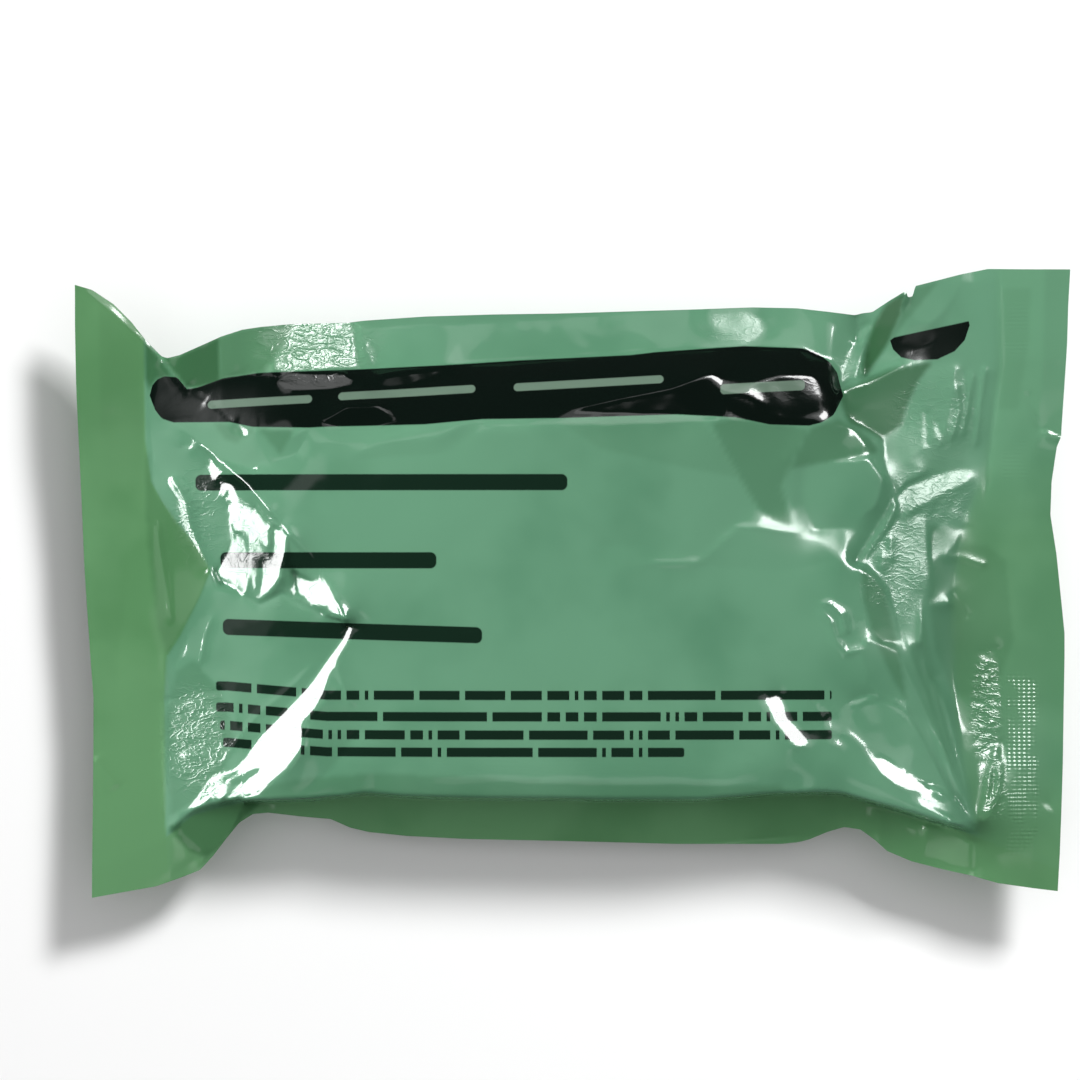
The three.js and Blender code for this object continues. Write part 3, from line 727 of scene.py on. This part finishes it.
# Points of a web on an even mesh: drawn finely first, with x and y brought onto the outline in a few turns.
def filmPlaces(height, columns, rows):
    p = np.linspace(0, 1, 900)[:, None]
    q = np.linspace(0, 1, 620)[None, :]
    x = toX(mix(chart["leftCorner"], chart["rightCorner"], p)) + 0 * q
    y = 0 * x
    for _ in range(8):
        column = toColumn(x)
        y = mix(edgeAt(lowerEdge, column), edgeAt(upperEdge, column), q)
        row = toRow(y)
        x = mix(lineAt(leftEdge, row), lineAt(rightEdge, row), p)
    places = np.stack([x, y, height(x, y)], axis=-1)
    places = evenSpacing(places, 1, rows)
    return evenSpacing(places, 0, columns, fineAtEnds)


def addPiece(name, mesh):
    mesh.polygons.foreach_set("use_smooth", np.ones(len(mesh.polygons), dtype=bool))
    mesh.update()
    piece = bpy.data.objects.new(name, mesh)
    scene.collection.objects.link(piece)
    return piece


# A web as a mesh, with its chart as UV map and its marks as attributes that the material reads.
def gridMesh(name, places, marks, flip):
    columns, rows = places.shape[:2]
    index = np.arange(columns * rows).reshape(columns, rows)
    quads = np.stack([index[:-1, :-1], index[1:, :-1], index[1:, 1:], index[:-1, 1:]], axis=-1).reshape(-1, 4)
    if flip:
        quads = quads[:, ::-1]
    mesh = bpy.data.meshes.new(name)
    mesh.from_pydata((places.reshape(-1, 3) * mm).tolist(), [], quads.tolist())
    layer = mesh.uv_layers.new(name="chart")
    loops = np.empty(len(mesh.loops), dtype=np.int32)
    mesh.loops.foreach_get("vertex_index", loops)
    size = chart["imageSize"]
    flat = np.stack([toColumn(places[..., 0]), size - toRow(places[..., 1])], axis=-1).reshape(-1, 2) / size
    layer.data.foreach_set("uv", flat[loops].astype(np.float32).ravel())
    for mark, values in marks.items():
        attribute = mesh.attributes.new(mark, "FLOAT", "POINT")
        attribute.data.foreach_set("value", values.astype(np.float32).ravel())
    return addPiece(name, mesh)


def filmMarks(places):
    x, y = places[..., 0], places[..., 1]
    return {
        "welded": weldShare(x, y),
        "ridged": crumpleShare(x, y, "ridged", crumples),
        "dulled": crumpleShare(x, y, "dull", crumples + dullZones),
    }


print("film: folding the front")
fineX, fineY = np.meshgrid(gridX, gridY, indexing="ij")
frontGrid = facetHeights(frontHeight(fineX, fineY), facets)
frontGrid += creaseHeights(creases, fineX, fineY) + crumpleHeights(fineX, fineY)
frontPlaces = filmPlaces(fromGrid(frontGrid), *film["frontMesh"])
print("film: mesh", frontPlaces.shape)
frontMarks = filmMarks(frontPlaces)
# painted shade, as an attribute that the material reads
frontMarks["deep"] = fromGrid(paintedShadeShare(fineX, fineY))(frontPlaces[..., 0], frontPlaces[..., 1])
frontFilm = gridMesh("frontFilm", frontPlaces, frontMarks, False)
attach(frontFilm, "root")
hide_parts("front_film")

print("film: the back")
backGrid = backHeight(fineX, fineY)
follows = clamp(1 - (weldLevel(fineX, fineY) - backGrid) / 2)  # 1 on the margins, which follow the front
backGrid = mix(backGrid, frontGrid - film["webGap"], follows)
backPlaces = filmPlaces(fromGrid(backGrid), *film["backMesh"])
backPlaces[..., 2] -= min(0, backPlaces[..., 2].min())
backFilm = gridMesh("backFilm", backPlaces, filmMarks(backPlaces), True)
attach(backFilm, "root")
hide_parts("back_film")


# The wound wrap and its pad fill the packet; they are pressed between the two films
wrap = {
    "low": -45.0, "high": 53.0,  # mm, the wrap's width lies along the packet
    "near": -28.4, "far": 31.4,  # mm, the winding's sides
    "turns": 8,
    "innermost": 0.34, "outermost": 0.95,  # reach of the first and last turn, as shares
    "layer": 0.055,  # thickness of a turn, as a share of the winding's half height
    "clear": 0.9,  # mm to the film
}
pad = {
    "inset": 1.5,  # mm from each end of the wrap
    "near": 0.12, "far": 0.88,  # shares of the winding's width
    "folds": 14,
    "foldHeight": 0.03,
    "thickness": 0.2,
}


# Height at a level between the two films, 0 on the back one and 1 under the front one.
def pressed(x, y, level):
    low = fromGrid(backGrid)(x, y) + wrap["clear"]
    high = fromGrid(frontGrid)(x, y) - wrap["clear"]
    return mix(low, high, level)


# A strip that follows its profile of across share and level, and lies along x.
def woundMesh(name, profile, thickness, low, high, stations, smoothing):
    profile = np.array(profile)
    away = np.gradient(profile, axis=0)
    away = np.stack([-away[:, 1], away[:, 0]], axis=1)
    away /= np.maximum(np.linalg.norm(away, axis=1, keepdims=True), 1e-9)
    loop = np.concatenate([profile + away * thickness / 2, (profile - away * thickness / 2)[::-1]])
    along = np.linspace(0, 1, stations)
    rounding = np.where(along < 0.5, along, 1 - along)
    shrink = 1 - smoothing * (1 - clamp(rounding / 0.05)) ** 2
    x = mix(low, high, along)[:, None] + 0 * loop[None, :, 0]
    across = 0.5 + (loop[None, :, 0] - 0.5) * shrink[:, None]
    level = 0.5 + (loop[None, :, 1] - 0.5) * shrink[:, None]
    y = mix(wrap["near"], wrap["far"], across)
    z = pressed(x, y, level)
    count = len(loop)
    index = np.arange(stations * count).reshape(stations, count)
    nextAround = np.roll(index, -1, axis=1)
    quads = np.stack([index[:-1], index[1:], nextAround[1:], nextAround[:-1]], axis=-1)
    quads = quads.reshape(-1, 4).tolist()
    half = count // 2
    for station, flip in ((0, False), (stations - 1, True)):
        ring = index[station]
        for a in range(half - 1):
            cap = [int(ring[a]), int(ring[a + 1]), int(ring[count - 2 - a]), int(ring[count - 1 - a])]
            quads.append(cap[::-1] if flip else cap)
    mesh = bpy.data.meshes.new(name)
    mesh.from_pydata((np.stack([x, y, z], axis=-1).reshape(-1, 3) * mm).tolist(), [], quads)
    return addPiece(name, mesh)


# Flat winding, from the core outwards, in shares of the winding's width and height.
def spiralProfile(turns, first, last, step=0.07):
    out = []
    angle = 0.0
    while angle < turns * 2 * math.pi:
        reach = mix(first, last, angle / (turns * 2 * math.pi))
        c, s = math.cos(angle), math.sin(angle)
        # a flat oval: straight runs with round ends
        flat = 1 - 0.5 * (1 - reach)
        across = 0.5 + 0.5 * flat * np.sign(c) * abs(c) ** 0.55 * mix(0.8, 1.0, reach)
        out.append((across, 0.5 + 0.5 * reach * np.sign(s) * abs(s) ** 0.5))
        angle += step
    return out


print("wrap: winding it")
spiral = spiralProfile(wrap["turns"], wrap["innermost"], wrap["outermost"])
wrapPiece = woundMesh("woundWrap", spiral, wrap["layer"], wrap["low"], wrap["high"], 26, 0.03)
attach(wrapPiece, "root")
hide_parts("bandage_roll")

print("pad: folding it")
padWaves = [(mix(pad["near"], pad["far"], s), 0.5 + pad["foldHeight"] * math.cos(s * pad["folds"] * math.pi))
            for s in np.linspace(0, 1, 90)]
padLow, padHigh = wrap["low"] + pad["inset"], wrap["high"] - pad["inset"]
padPiece = woundMesh("foldedPad", padWaves, pad["thickness"], padLow, padHigh, 30, 0.05)
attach(padPiece, "root")
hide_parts("dressing_pad")


# Links a socket, or sets its value.
def feed(tree, socket, value):
    if isinstance(value, bpy.types.NodeSocket):
        tree.links.new(value, socket)
    else:
        socket.default_value = value


def addNode(tree, kind, inputs=None, **settings):
    node = tree.nodes.new(kind)
    for key, value in settings.items():
        setattr(node, key, value)
    for key, value in (inputs or {}).items():
        feed(tree, node.inputs[key], value)
    return node


def calc(tree, operation, *values):
    return addNode(tree, "ShaderNodeMath", dict(enumerate(values)), operation=operation).outputs[0]


def ramp(tree, value, low, high):
    places = {"Value": value, "From Min": low, "From Max": high}
    return addNode(tree, "ShaderNodeMapRange", places, interpolation_type="SMOOTHSTEP").outputs["Result"]


# 1 between the middle two of four places, 0 outside the outer two.
def within(tree, value, zone):
    start, full, last, end = zone
    return calc(tree, "MULTIPLY", ramp(tree, value, start, full), ramp(tree, value, end, last))


def anyOf(tree, masks):
    total = masks[0]
    for mask in masks[1:]:
        total = calc(tree, "MAXIMUM", total, mask)
    return total


def noiseOf(tree, place, scale, detail, **more):
    inputs = {"Vector": place, "Scale": scale, "Detail": detail, **more}
    return addNode(tree, "ShaderNodeTexNoise", inputs).outputs["Fac"]


def objectPlace(tree):
    return addNode(tree, "ShaderNodeTexCoord").outputs["Object"]


def blendColour(tree, share, a, b):
    node = addNode(tree, "ShaderNodeMix", data_type="RGBA")
    for index, value in ((0, share), (6, a), (7, b)):
        feed(tree, node.inputs[index], (*value, 1) if isinstance(value, tuple) else value)
    return node.outputs[2]


def startGroup(name, inputs, outputs):
    group = bpy.data.node_groups.new(name, "ShaderNodeTree")
    for socketName, default in inputs:
        socket = group.interface.new_socket(socketName, in_out="INPUT", socket_type="NodeSocketFloat")
        socket.default_value = default
    for socketName, kind in outputs:
        group.interface.new_socket(socketName, in_out="OUTPUT", socket_type=kind)
    return group, group.nodes.new("NodeGroupInput").outputs, group.nodes.new("NodeGroupOutput").inputs


def placeGroup(tree, group, inputs):
    return addNode(tree, "ShaderNodeGroup", inputs, node_tree=group).outputs


# Mask of a bar with round corners; all sizes in pixels of the chart.
def makeRoundedBar():
    group, given, out = startGroup("roundedBar", [
        ("Column", 0), ("Row", 0), ("Middle Column", 0), ("Middle Row", 0), ("Half Width", 10),
        ("Half Height", 5), ("Corner", 4), ("Slope", 0)], [("Mask", "NodeSocketFloat")])

    def past(away, half):
        inner = calc(group, "SUBTRACT", half, given["Corner"])
        return calc(group, "MAXIMUM", calc(group, "SUBTRACT", calc(group, "ABSOLUTE", away), inner), 0)

    dx = calc(group, "SUBTRACT", given["Column"], given["Middle Column"])
    dy = calc(group, "SUBTRACT", given["Row"], given["Middle Row"])
    dy = calc(group, "SUBTRACT", dy, calc(group, "MULTIPLY", dx, given["Slope"]))
    ax, ay = past(dx, given["Half Width"]), past(dy, given["Half Height"])
    squares = calc(group, "ADD", calc(group, "MULTIPLY", ax, ax), calc(group, "MULTIPLY", ay, ay))
    edge = calc(group, "SUBTRACT", given["Corner"], calc(group, "SQRT", squares))
    group.links.new(ramp(group, edge, -0.7, 0.7), out["Mask"])
    return group


# Height of the fine wrinkles in metres: slow waves all over, and thin ridges where it is crumpled.
def makeFilmRelief():
    group, given, out = startGroup("filmRelief", [
        ("Ridged", 0), ("Ridge", 0.00007), ("Wave", 0.0003)], [("Height", "NodeSocketFloat")])
    place = objectPlace(group)
    total = calc(group, "MULTIPLY", noiseOf(group, place, 90.0, 2.0, Roughness=0.45), given["Wave"])
    # the ridges run longer sideways
    ripple = addNode(group, "ShaderNodeVectorMath", {0: place, 1: (1.0, 1.8, 1.0)}, operation="MULTIPLY")
    for scale, share in ((330.0, 1.0), (760.0, 0.4)):
        noise = noiseOf(group, ripple.outputs["Vector"], scale, 1.0, Distortion=0.8)
        ridge = calc(group, "ABSOLUTE", calc(group, "SUBTRACT", noise, 0.5))
        ridge = calc(group, "POWER", calc(group, "SUBTRACT", 1.0, calc(group, "MULTIPLY", ridge, 2.0)), 9.0)
        ridge = calc(group, "MULTIPLY", calc(group, "MULTIPLY", ridge, given["Ridge"]), share)
        total = calc(group, "ADD", total, calc(group, "MULTIPLY", ridge, given["Ridged"]))
    group.links.new(total, out["Height"])
    return group


# Zones of the right seal; each starts, is full, stays full and ends at these columns or rows
knurling = {
    "ribColumns": (1000, 1004, 1022, 1028),
    "upperRibs": (296, 312, 350, 362),
    "middleRibs": (430, 440, 474, 484),
    "hatchColumns": (1003, 1008, 1033, 1039),
    "hatchRows": (668, 684, 830, 860),
    "ribStep": 4.0,  # pixels
    "postStep": 5.0,
    "ribShare": 0.35,
    "depth": 0.000026,  # m
}


# Knurled weld: fine ribs across the right seal, and a cross-hatch towards its lower end.
def makeSealRelief():
    group, given, out = startGroup("sealRelief", [("Column", 0), ("Row", 0)], [
        ("Height", "NodeSocketFloat"), ("Mask", "NodeSocketFloat")])
    column, row = given["Column"], given["Row"]
    ribs = calc(group, "SINE", calc(group, "MULTIPLY", row, 2 * math.pi / knurling["ribStep"]))
    posts = calc(group, "SINE", calc(group, "MULTIPLY", column, 2 * math.pi / knurling["postStep"]))
    ribRows = anyOf(group, [within(group, row, knurling[zone]) for zone in ("upperRibs", "middleRibs")])
    ribZone = calc(group, "MULTIPLY", within(group, column, knurling["ribColumns"]), ribRows)
    hatchRows = within(group, row, knurling["hatchRows"])
    hatchZone = calc(group, "MULTIPLY", within(group, column, knurling["hatchColumns"]), hatchRows)
    patchy = ramp(group, noiseOf(group, objectPlace(group), 260.0, 1.0), 0.38, 0.6)
    ribZone = calc(group, "MULTIPLY", ribZone, patchy)
    hatchZone = calc(group, "MULTIPLY", hatchZone, patchy)
    fineRibs = calc(group, "MULTIPLY", calc(group, "MULTIPLY", ribs, ribZone), knurling["ribShare"])
    hatch = calc(group, "MULTIPLY", calc(group, "ADD", ribs, posts), hatchZone)
    height = calc(group, "MULTIPLY", calc(group, "ADD", fineRibs, hatch), knurling["depth"])
    group.links.new(height, out["Height"])
    group.links.new(calc(group, "MAXIMUM", ribZone, hatchZone), out["Mask"])
    return group


print("materials: shader groups")
groups = {"bar": makeRoundedBar(), "relief": makeFilmRelief(), "seal": makeSealRelief()}

# Dark print. Edges of the long band and of the tear mark: column, row
bandUpper = [
    (151, 396), (154, 385), (159, 380), (166, 377), (179, 378), (189, 390), (200, 388), (225, 379),
    (260, 374), (335, 371), (445, 366), (521, 361), (630, 356), (656, 353), (743, 347), (800, 349),
    (815, 353), (828, 363), (836, 374), (841, 397),
]
bandLower = [
    (151, 396), (156, 410), (163, 419), (175, 423), (232, 423), (255, 428), (312, 429), (330, 428),
    (426, 426), (483, 421), (560, 420), (676, 416), (733, 419), (767, 426), (806, 427), (818, 424),
    (831, 416), (841, 397),
]
markUpper = [(889, 341), (893, 338), (967, 322), (968, 326)]
markLower = [(889, 341), (892, 350), (900, 358), (913, 361), (936, 360), (953, 352), (963, 341), (968, 326)]
longBars = [  # middle column, middle row, half width, half height, corner, slope
    (382, 483, 185, 8, 6, 0.0),
    (330, 560, 108, 8, 6, 0.0),
    (354, 630, 129, 8, 6, 0.03),
]
bandDashes = [  # the same columns
    (262, 403, 52, 4, 4, -0.055),
    (408, 394, 68, 4, 4, -0.055),
    (588, 385, 74, 4, 4, -0.055),
    (760, 389, 42, 5, 4, -0.055),
]
# Row, first and last column
brokenRows = [(690, 218, 828), (711, 218, 828), (729, 222, 828), (746, 225, 682)]
brokenBars = {
    "halfHeight": 4.6,
    "corner": 2.5,
    "cell": 9.0,  # pixels; a cell is solid or has a gap in its middle
    "gapShare": 0.2,
    "sag": {"From Min": 230.0, "From Max": 330.0, "To Min": -5.0, "To Max": 3.0},  # by column
}


# Row of a charted edge at a column, by a curve through its points.
def curveOf(tree, column, edge):
    low, high = edge[0][0], edge[-1][0]
    rows = [p[1] for p in edge]
    bottom, top = min(rows) - 5, max(rows) + 5
    places = {"Value": column, "From Min": low, "From Max": high}
    share = addNode(tree, "ShaderNodeMapRange", places).outputs["Result"]
    node = addNode(tree, "ShaderNodeFloatCurve", {"Value": share})
    curve = node.mapping.curves[0]
    spots = [((c - low) / (high - low), (r - bottom) / (top - bottom)) for c, r in edge]
    for place in spots[1:-1]:
        curve.points.new(*place)
    for point, place in zip(curve.points, spots):
        point.location = place
        point.handle_type = "VECTOR"
    node.mapping.update()
    places = {"Value": node.outputs[0], "To Min": bottom, "To Max": top}
    return addNode(tree, "ShaderNodeMapRange", places, clamp=False).outputs["Result"]


def betweenEdges(tree, column, row, upper, lower):
    above = calc(tree, "SUBTRACT", row, curveOf(tree, column, upper))
    below = calc(tree, "SUBTRACT", curveOf(tree, column, lower), row)
    inside = calc(tree, "MULTIPLY", ramp(tree, above, -0.8, 0.8), ramp(tree, below, -0.8, 0.8))
    first, last = upper[0][0], upper[-1][0]
    ends = within(tree, column, (first - 0.8, first + 0.4, last - 0.4, last + 0.8))
    return calc(tree, "MULTIPLY", inside, ends)


def barMask(tree, column, row, middleColumn, middleRow, halfWidth, halfHeight, corner, slope=0.0):
    return placeGroup(tree, groups["bar"], {
        "Column": column, "Row": row, "Middle Column": middleColumn, "Middle Row": middleRow,
        "Half Width": halfWidth, "Half Height": halfHeight, "Corner": corner, "Slope": slope})["Mask"]


# Rows of thin bars, broken by gaps.
def brokenBarMasks(tree, column, row):
    sag = addNode(tree, "ShaderNodeMapRange", {"Value": column, **brokenBars["sag"]}).outputs["Result"]
    shifted = calc(tree, "SUBTRACT", row, sag)
    cells = calc(tree, "MULTIPLY", column, 1 / brokenBars["cell"])
    fromMiddle = calc(tree, "ABSOLUTE", calc(tree, "SUBTRACT", calc(tree, "FRACT", cells), 0.5))
    masks = []
    for index, (middleRow, first, last) in enumerate(brokenRows):
        line = barMask(tree, column, shifted, (first + last) / 2, middleRow, (last - first) / 2,
                       brokenBars["halfHeight"], brokenBars["corner"])
        number = calc(tree, "FLOOR", calc(tree, "ADD", cells, index * 37.0))
        draw = addNode(tree, "ShaderNodeTexWhiteNoise", noise_dimensions="1D")
        tree.links.new(number, draw.inputs["W"])
        whole = calc(tree, "GREATER_THAN", draw.outputs["Value"], brokenBars["gapShare"])
        solid = calc(tree, "MAXIMUM", whole, calc(tree, "GREATER_THAN", fromMiddle, 0.3))
        masks.append(calc(tree, "MULTIPLY", line, solid))
    return masks


filmLook = {
    "face": (0.145, 0.345, 0.21),
    "welded": (0.13, 0.315, 0.14),
    # colour of the painted shade in folds and hollows
    "deep": (0.036, 0.130, 0.048),
    "ink": (0.002, 0.006, 0.004),
    "barInk": (0.006, 0.022, 0.012),
    "bandLines": (0.15, 0.23, 0.17),
    "roughness": 0.5,
    "specular": 0.0,
    "smoothCoat": 0.08,
    "dullCoat": 0.28,
}


def makeFilm(name, printed):
    material = bpy.data.materials.new(name)
    material.use_nodes = True
    tree = material.node_tree
    shader = tree.nodes["Principled BSDF"]
    uv = addNode(tree, "ShaderNodeUVMap", uv_map="chart").outputs["UV"]
    split = addNode(tree, "ShaderNodeSeparateXYZ", {"Vector": uv})
    size = chart["imageSize"]
    column = calc(tree, "MULTIPLY", split.outputs["X"], size)
    row = calc(tree, "SUBTRACT", size, calc(tree, "MULTIPLY", split.outputs["Y"], size))

    def mark(attribute):
        return addNode(tree, "ShaderNodeAttribute", attribute_name=attribute).outputs["Fac"]

    colour = blendColour(tree, mark("welded"), filmLook["face"], filmLook["welded"])
    shade = {"Color": colour, "Value": 0.84, "Saturation": 1.06}
    darker = addNode(tree, "ShaderNodeHueSaturation", shade).outputs["Color"]
    cloud = noiseOf(tree, objectPlace(tree), 38.0, 3.0)
    colour = blendColour(tree, ramp(tree, cloud, 0.42, 0.66), colour, darker)
    if printed:  # the back film has no print and no painted shade
        # painted shade: the film turns darker and greener where shade falls
        colour = blendColour(tree, mark("deep"), colour, filmLook["deep"])
        ink = anyOf(tree, [betweenEdges(tree, column, row, bandUpper, bandLower),
                           betweenEdges(tree, column, row, markUpper, markLower)])
        colour = blendColour(tree, ink, colour, filmLook["ink"])
        lines = anyOf(tree, [barMask(tree, column, row, *bar) for bar in bandDashes])
        colour = blendColour(tree, lines, colour, filmLook["bandLines"])
        longMasks = [barMask(tree, column, row, *bar) for bar in longBars]
        dark = anyOf(tree, longMasks + brokenBarMasks(tree, column, row))
        colour = blendColour(tree, dark, colour, filmLook["barInk"])
    tree.links.new(colour, shader.inputs["Base Color"])
    relief = placeGroup(tree, groups["relief"], {"Ridged": mark("ridged")})
    seal = placeGroup(tree, groups["seal"], {"Column": column, "Row": row})
    height = calc(tree, "ADD", relief["Height"], seal["Height"])
    bump = addNode(tree, "ShaderNodeBump", {"Height": height, "Distance": 1.0, "Strength": 1.0})
    tree.links.new(bump.outputs["Normal"], shader.inputs["Normal"])
    tree.links.new(bump.outputs["Normal"], shader.inputs["Coat Normal"])
    shader.inputs["Roughness"].default_value = filmLook["roughness"]
    shader.inputs["Specular IOR Level"].default_value = filmLook["specular"]
    shader.inputs["Coat Weight"].default_value = 1.0
    coats = {"Value": mark("dulled"), "To Min": filmLook["smoothCoat"], "To Max": filmLook["dullCoat"]}
    coat = addNode(tree, "ShaderNodeMapRange", coats)
    tree.links.new(coat.outputs["Result"], shader.inputs["Coat Roughness"])
    return material


# Woven cloth: two crossed sets of threads to a metre, uneven in colour.
def makeWeave(name, light, dark, threads, roughness):
    material = bpy.data.materials.new(name)
    material.use_nodes = True
    tree = material.node_tree
    shader = tree.nodes["Principled BSDF"]
    place = objectPlace(tree)
    split = addNode(tree, "ShaderNodeSeparateXYZ", {"Vector": place})
    pitch = 2 * math.pi * threads
    warp = calc(tree, "SINE", calc(tree, "MULTIPLY", split.outputs["X"], pitch))
    weft = calc(tree, "SINE", calc(tree, "MULTIPLY", split.outputs["Y"], pitch))
    woven = calc(tree, "MULTIPLY", warp, weft)
    share = calc(tree, "ADD", calc(tree, "MULTIPLY", woven, 0.3), noiseOf(tree, place, 220.0, 3.0))
    tree.links.new(blendColour(tree, ramp(tree, share, 0.2, 0.9), dark, light), shader.inputs["Base Color"])
    bump = addNode(tree, "ShaderNodeBump", {"Height": calc(tree, "MULTIPLY", woven, 0.0001), "Distance": 1.0})
    tree.links.new(bump.outputs["Normal"], shader.inputs["Normal"])
    shader.inputs["Roughness"].default_value = roughness
    return material


print("materials: film, wrap and pad")
frontFilm.data.materials.append(makeFilm("printedFilm", True))
backFilm.data.materials.append(makeFilm("plainFilm", False))
wrapPiece.data.materials.append(makeWeave("oliveWeave", (0.20, 0.21, 0.10), (0.11, 0.12, 0.05), 900, 0.9))
padPiece.data.materials.append(makeWeave("padWeave", (0.84, 0.82, 0.75), (0.72, 0.70, 0.63), 600, 0.95))

print("stage: floor, lights and camera")
floorMesh = bpy.data.meshes.new("floor")
floorReach = 3.0
corners = [(x * floorReach, y * floorReach, 0) for x, y in ((-1, -1), (1, -1), (1, 1), (-1, 1))]
floorMesh.from_pydata(corners, [], [(0, 1, 2, 3)])
floor = bpy.data.objects.new("floor", floorMesh)
scene.collection.objects.link(floor)
floorMaterial = bpy.data.materials.new("paleFloor")
floorMaterial.use_nodes = True
floorShader = floorMaterial.node_tree.nodes["Principled BSDF"]
floorShader.inputs["Base Color"].default_value = (0.86, 0.86, 0.86, 1)
floorShader.inputs["Roughness"].default_value = 0.9
floorMesh.materials.append(floorMaterial)
floor.visible_glossy = False

world = bpy.data.worlds.new("studio")
scene.world = world
world.use_nodes = True
world.node_tree.nodes["Background"].inputs["Color"].default_value = (1, 1, 1, 1)
world.node_tree.nodes["Background"].inputs["Strength"].default_value = 0.05
scene.view_settings.view_transform = "Standard"

packetOnly = bpy.data.collections.new("packetOnly")
floorOnly = bpy.data.collections.new("floorOnly")
for piece in (frontFilm, backFilm):
    packetOnly.objects.link(piece)
floorOnly.objects.link(floor)


# A softbox that faces the packet, by where it stands; radiance is how bright its face is.
def areaLight(name, azimuth, elevation, distance, width, height, radiance, receivers=None,
              gloss=True, diffuse=True):
    data = bpy.data.lights.new(name, "AREA")
    data.shape = "RECTANGLE"
    data.size = width
    data.size_y = height
    data.energy = radiance * math.pi * width * height
    light = bpy.data.objects.new(name, data)
    around, up = math.radians(azimuth), math.radians(elevation)
    level = distance * math.cos(up)
    light.location = (level * math.cos(around), level * math.sin(around), distance * math.sin(up))
    light.rotation_euler = (-Vector(light.location)).to_track_quat("-Z", "Y").to_euler()
    light.visible_glossy = gloss
    light.visible_diffuse = diffuse
    scene.collection.objects.link(light)
    if receivers:
        light.light_linking.receiver_collection = receivers


# Softboxes that show as glints in the film
areaLight("leftSoftbox", 168, 24, 0.9, 0.95, 0.30, 24.0, packetOnly, diffuse=False)
areaLight("rightSoftbox", 43, 49, 0.9, 0.37, 0.30, 22.0, packetOnly, diffuse=False)
# Dimmer panels that show as a pale sheen: name, azimuth, elevation, width, height and radiance; each is
# made of two faces, one inside the other, so that the sheen has a soft edge
panels = [
    ("leftPanel", 168, 46, 0.62, 0.45, 0.8),
    ("rightPanel", 55, 52, 0.8, 0.6, 2.2),
    ("lowPanel", 278, 72, 0.40, 0.16, 0.9),
    ("highPanel", 130, 65, 0.34, 0.18, 0.9),
]
for name, azimuth, elevation, width, height, radiance in panels:
    for face, distance, share in (("Outer", 1.0, 1.0), ("Inner", 0.99, 0.75)):
        areaLight(name + face, azimuth, elevation, distance, width * share, height * share,
                  radiance * 0.5, packetOnly, diffuse=False)
# Soft light without glints, and the light that throws the shadow on the floor
areaLight("leftFill", 160, 27, 1.0, 0.8, 0.5, 7.0, packetOnly, gloss=False)
areaLight("rightFill", 30, 38, 1.0, 0.8, 0.5, 3.3, packetOnly, gloss=False)
areaLight("overheadFill", 90, 88, 1.3, 2.4, 2.4, 0.68, gloss=False)
areaLight("floorLight", 54, 46, 1.4, 0.30, 0.30, 72.0, floorOnly)
areaLight("floorFill", 90, 88, 1.35, 2.4, 2.4, 0.18, floorOnly)

# The camera looks straight down on the middle of the chart, whose width fills the picture at the welds
cameraData = bpy.data.cameras.new("camera")
camera = bpy.data.objects.new("camera", cameraData)
cameraData.lens = 150
cameraData.sensor_width = 36
frameWidth = chart["imageSize"] * pixel * mm
cameraHeight = film["weldHeight"] * mm + frameWidth * cameraData.lens / cameraData.sensor_width
middle = chart["imageSize"] / 2
camera.location = (toX(middle) * mm, toY(middle) * mm, cameraHeight)
scene.collection.objects.link(camera)
scene.camera = camera
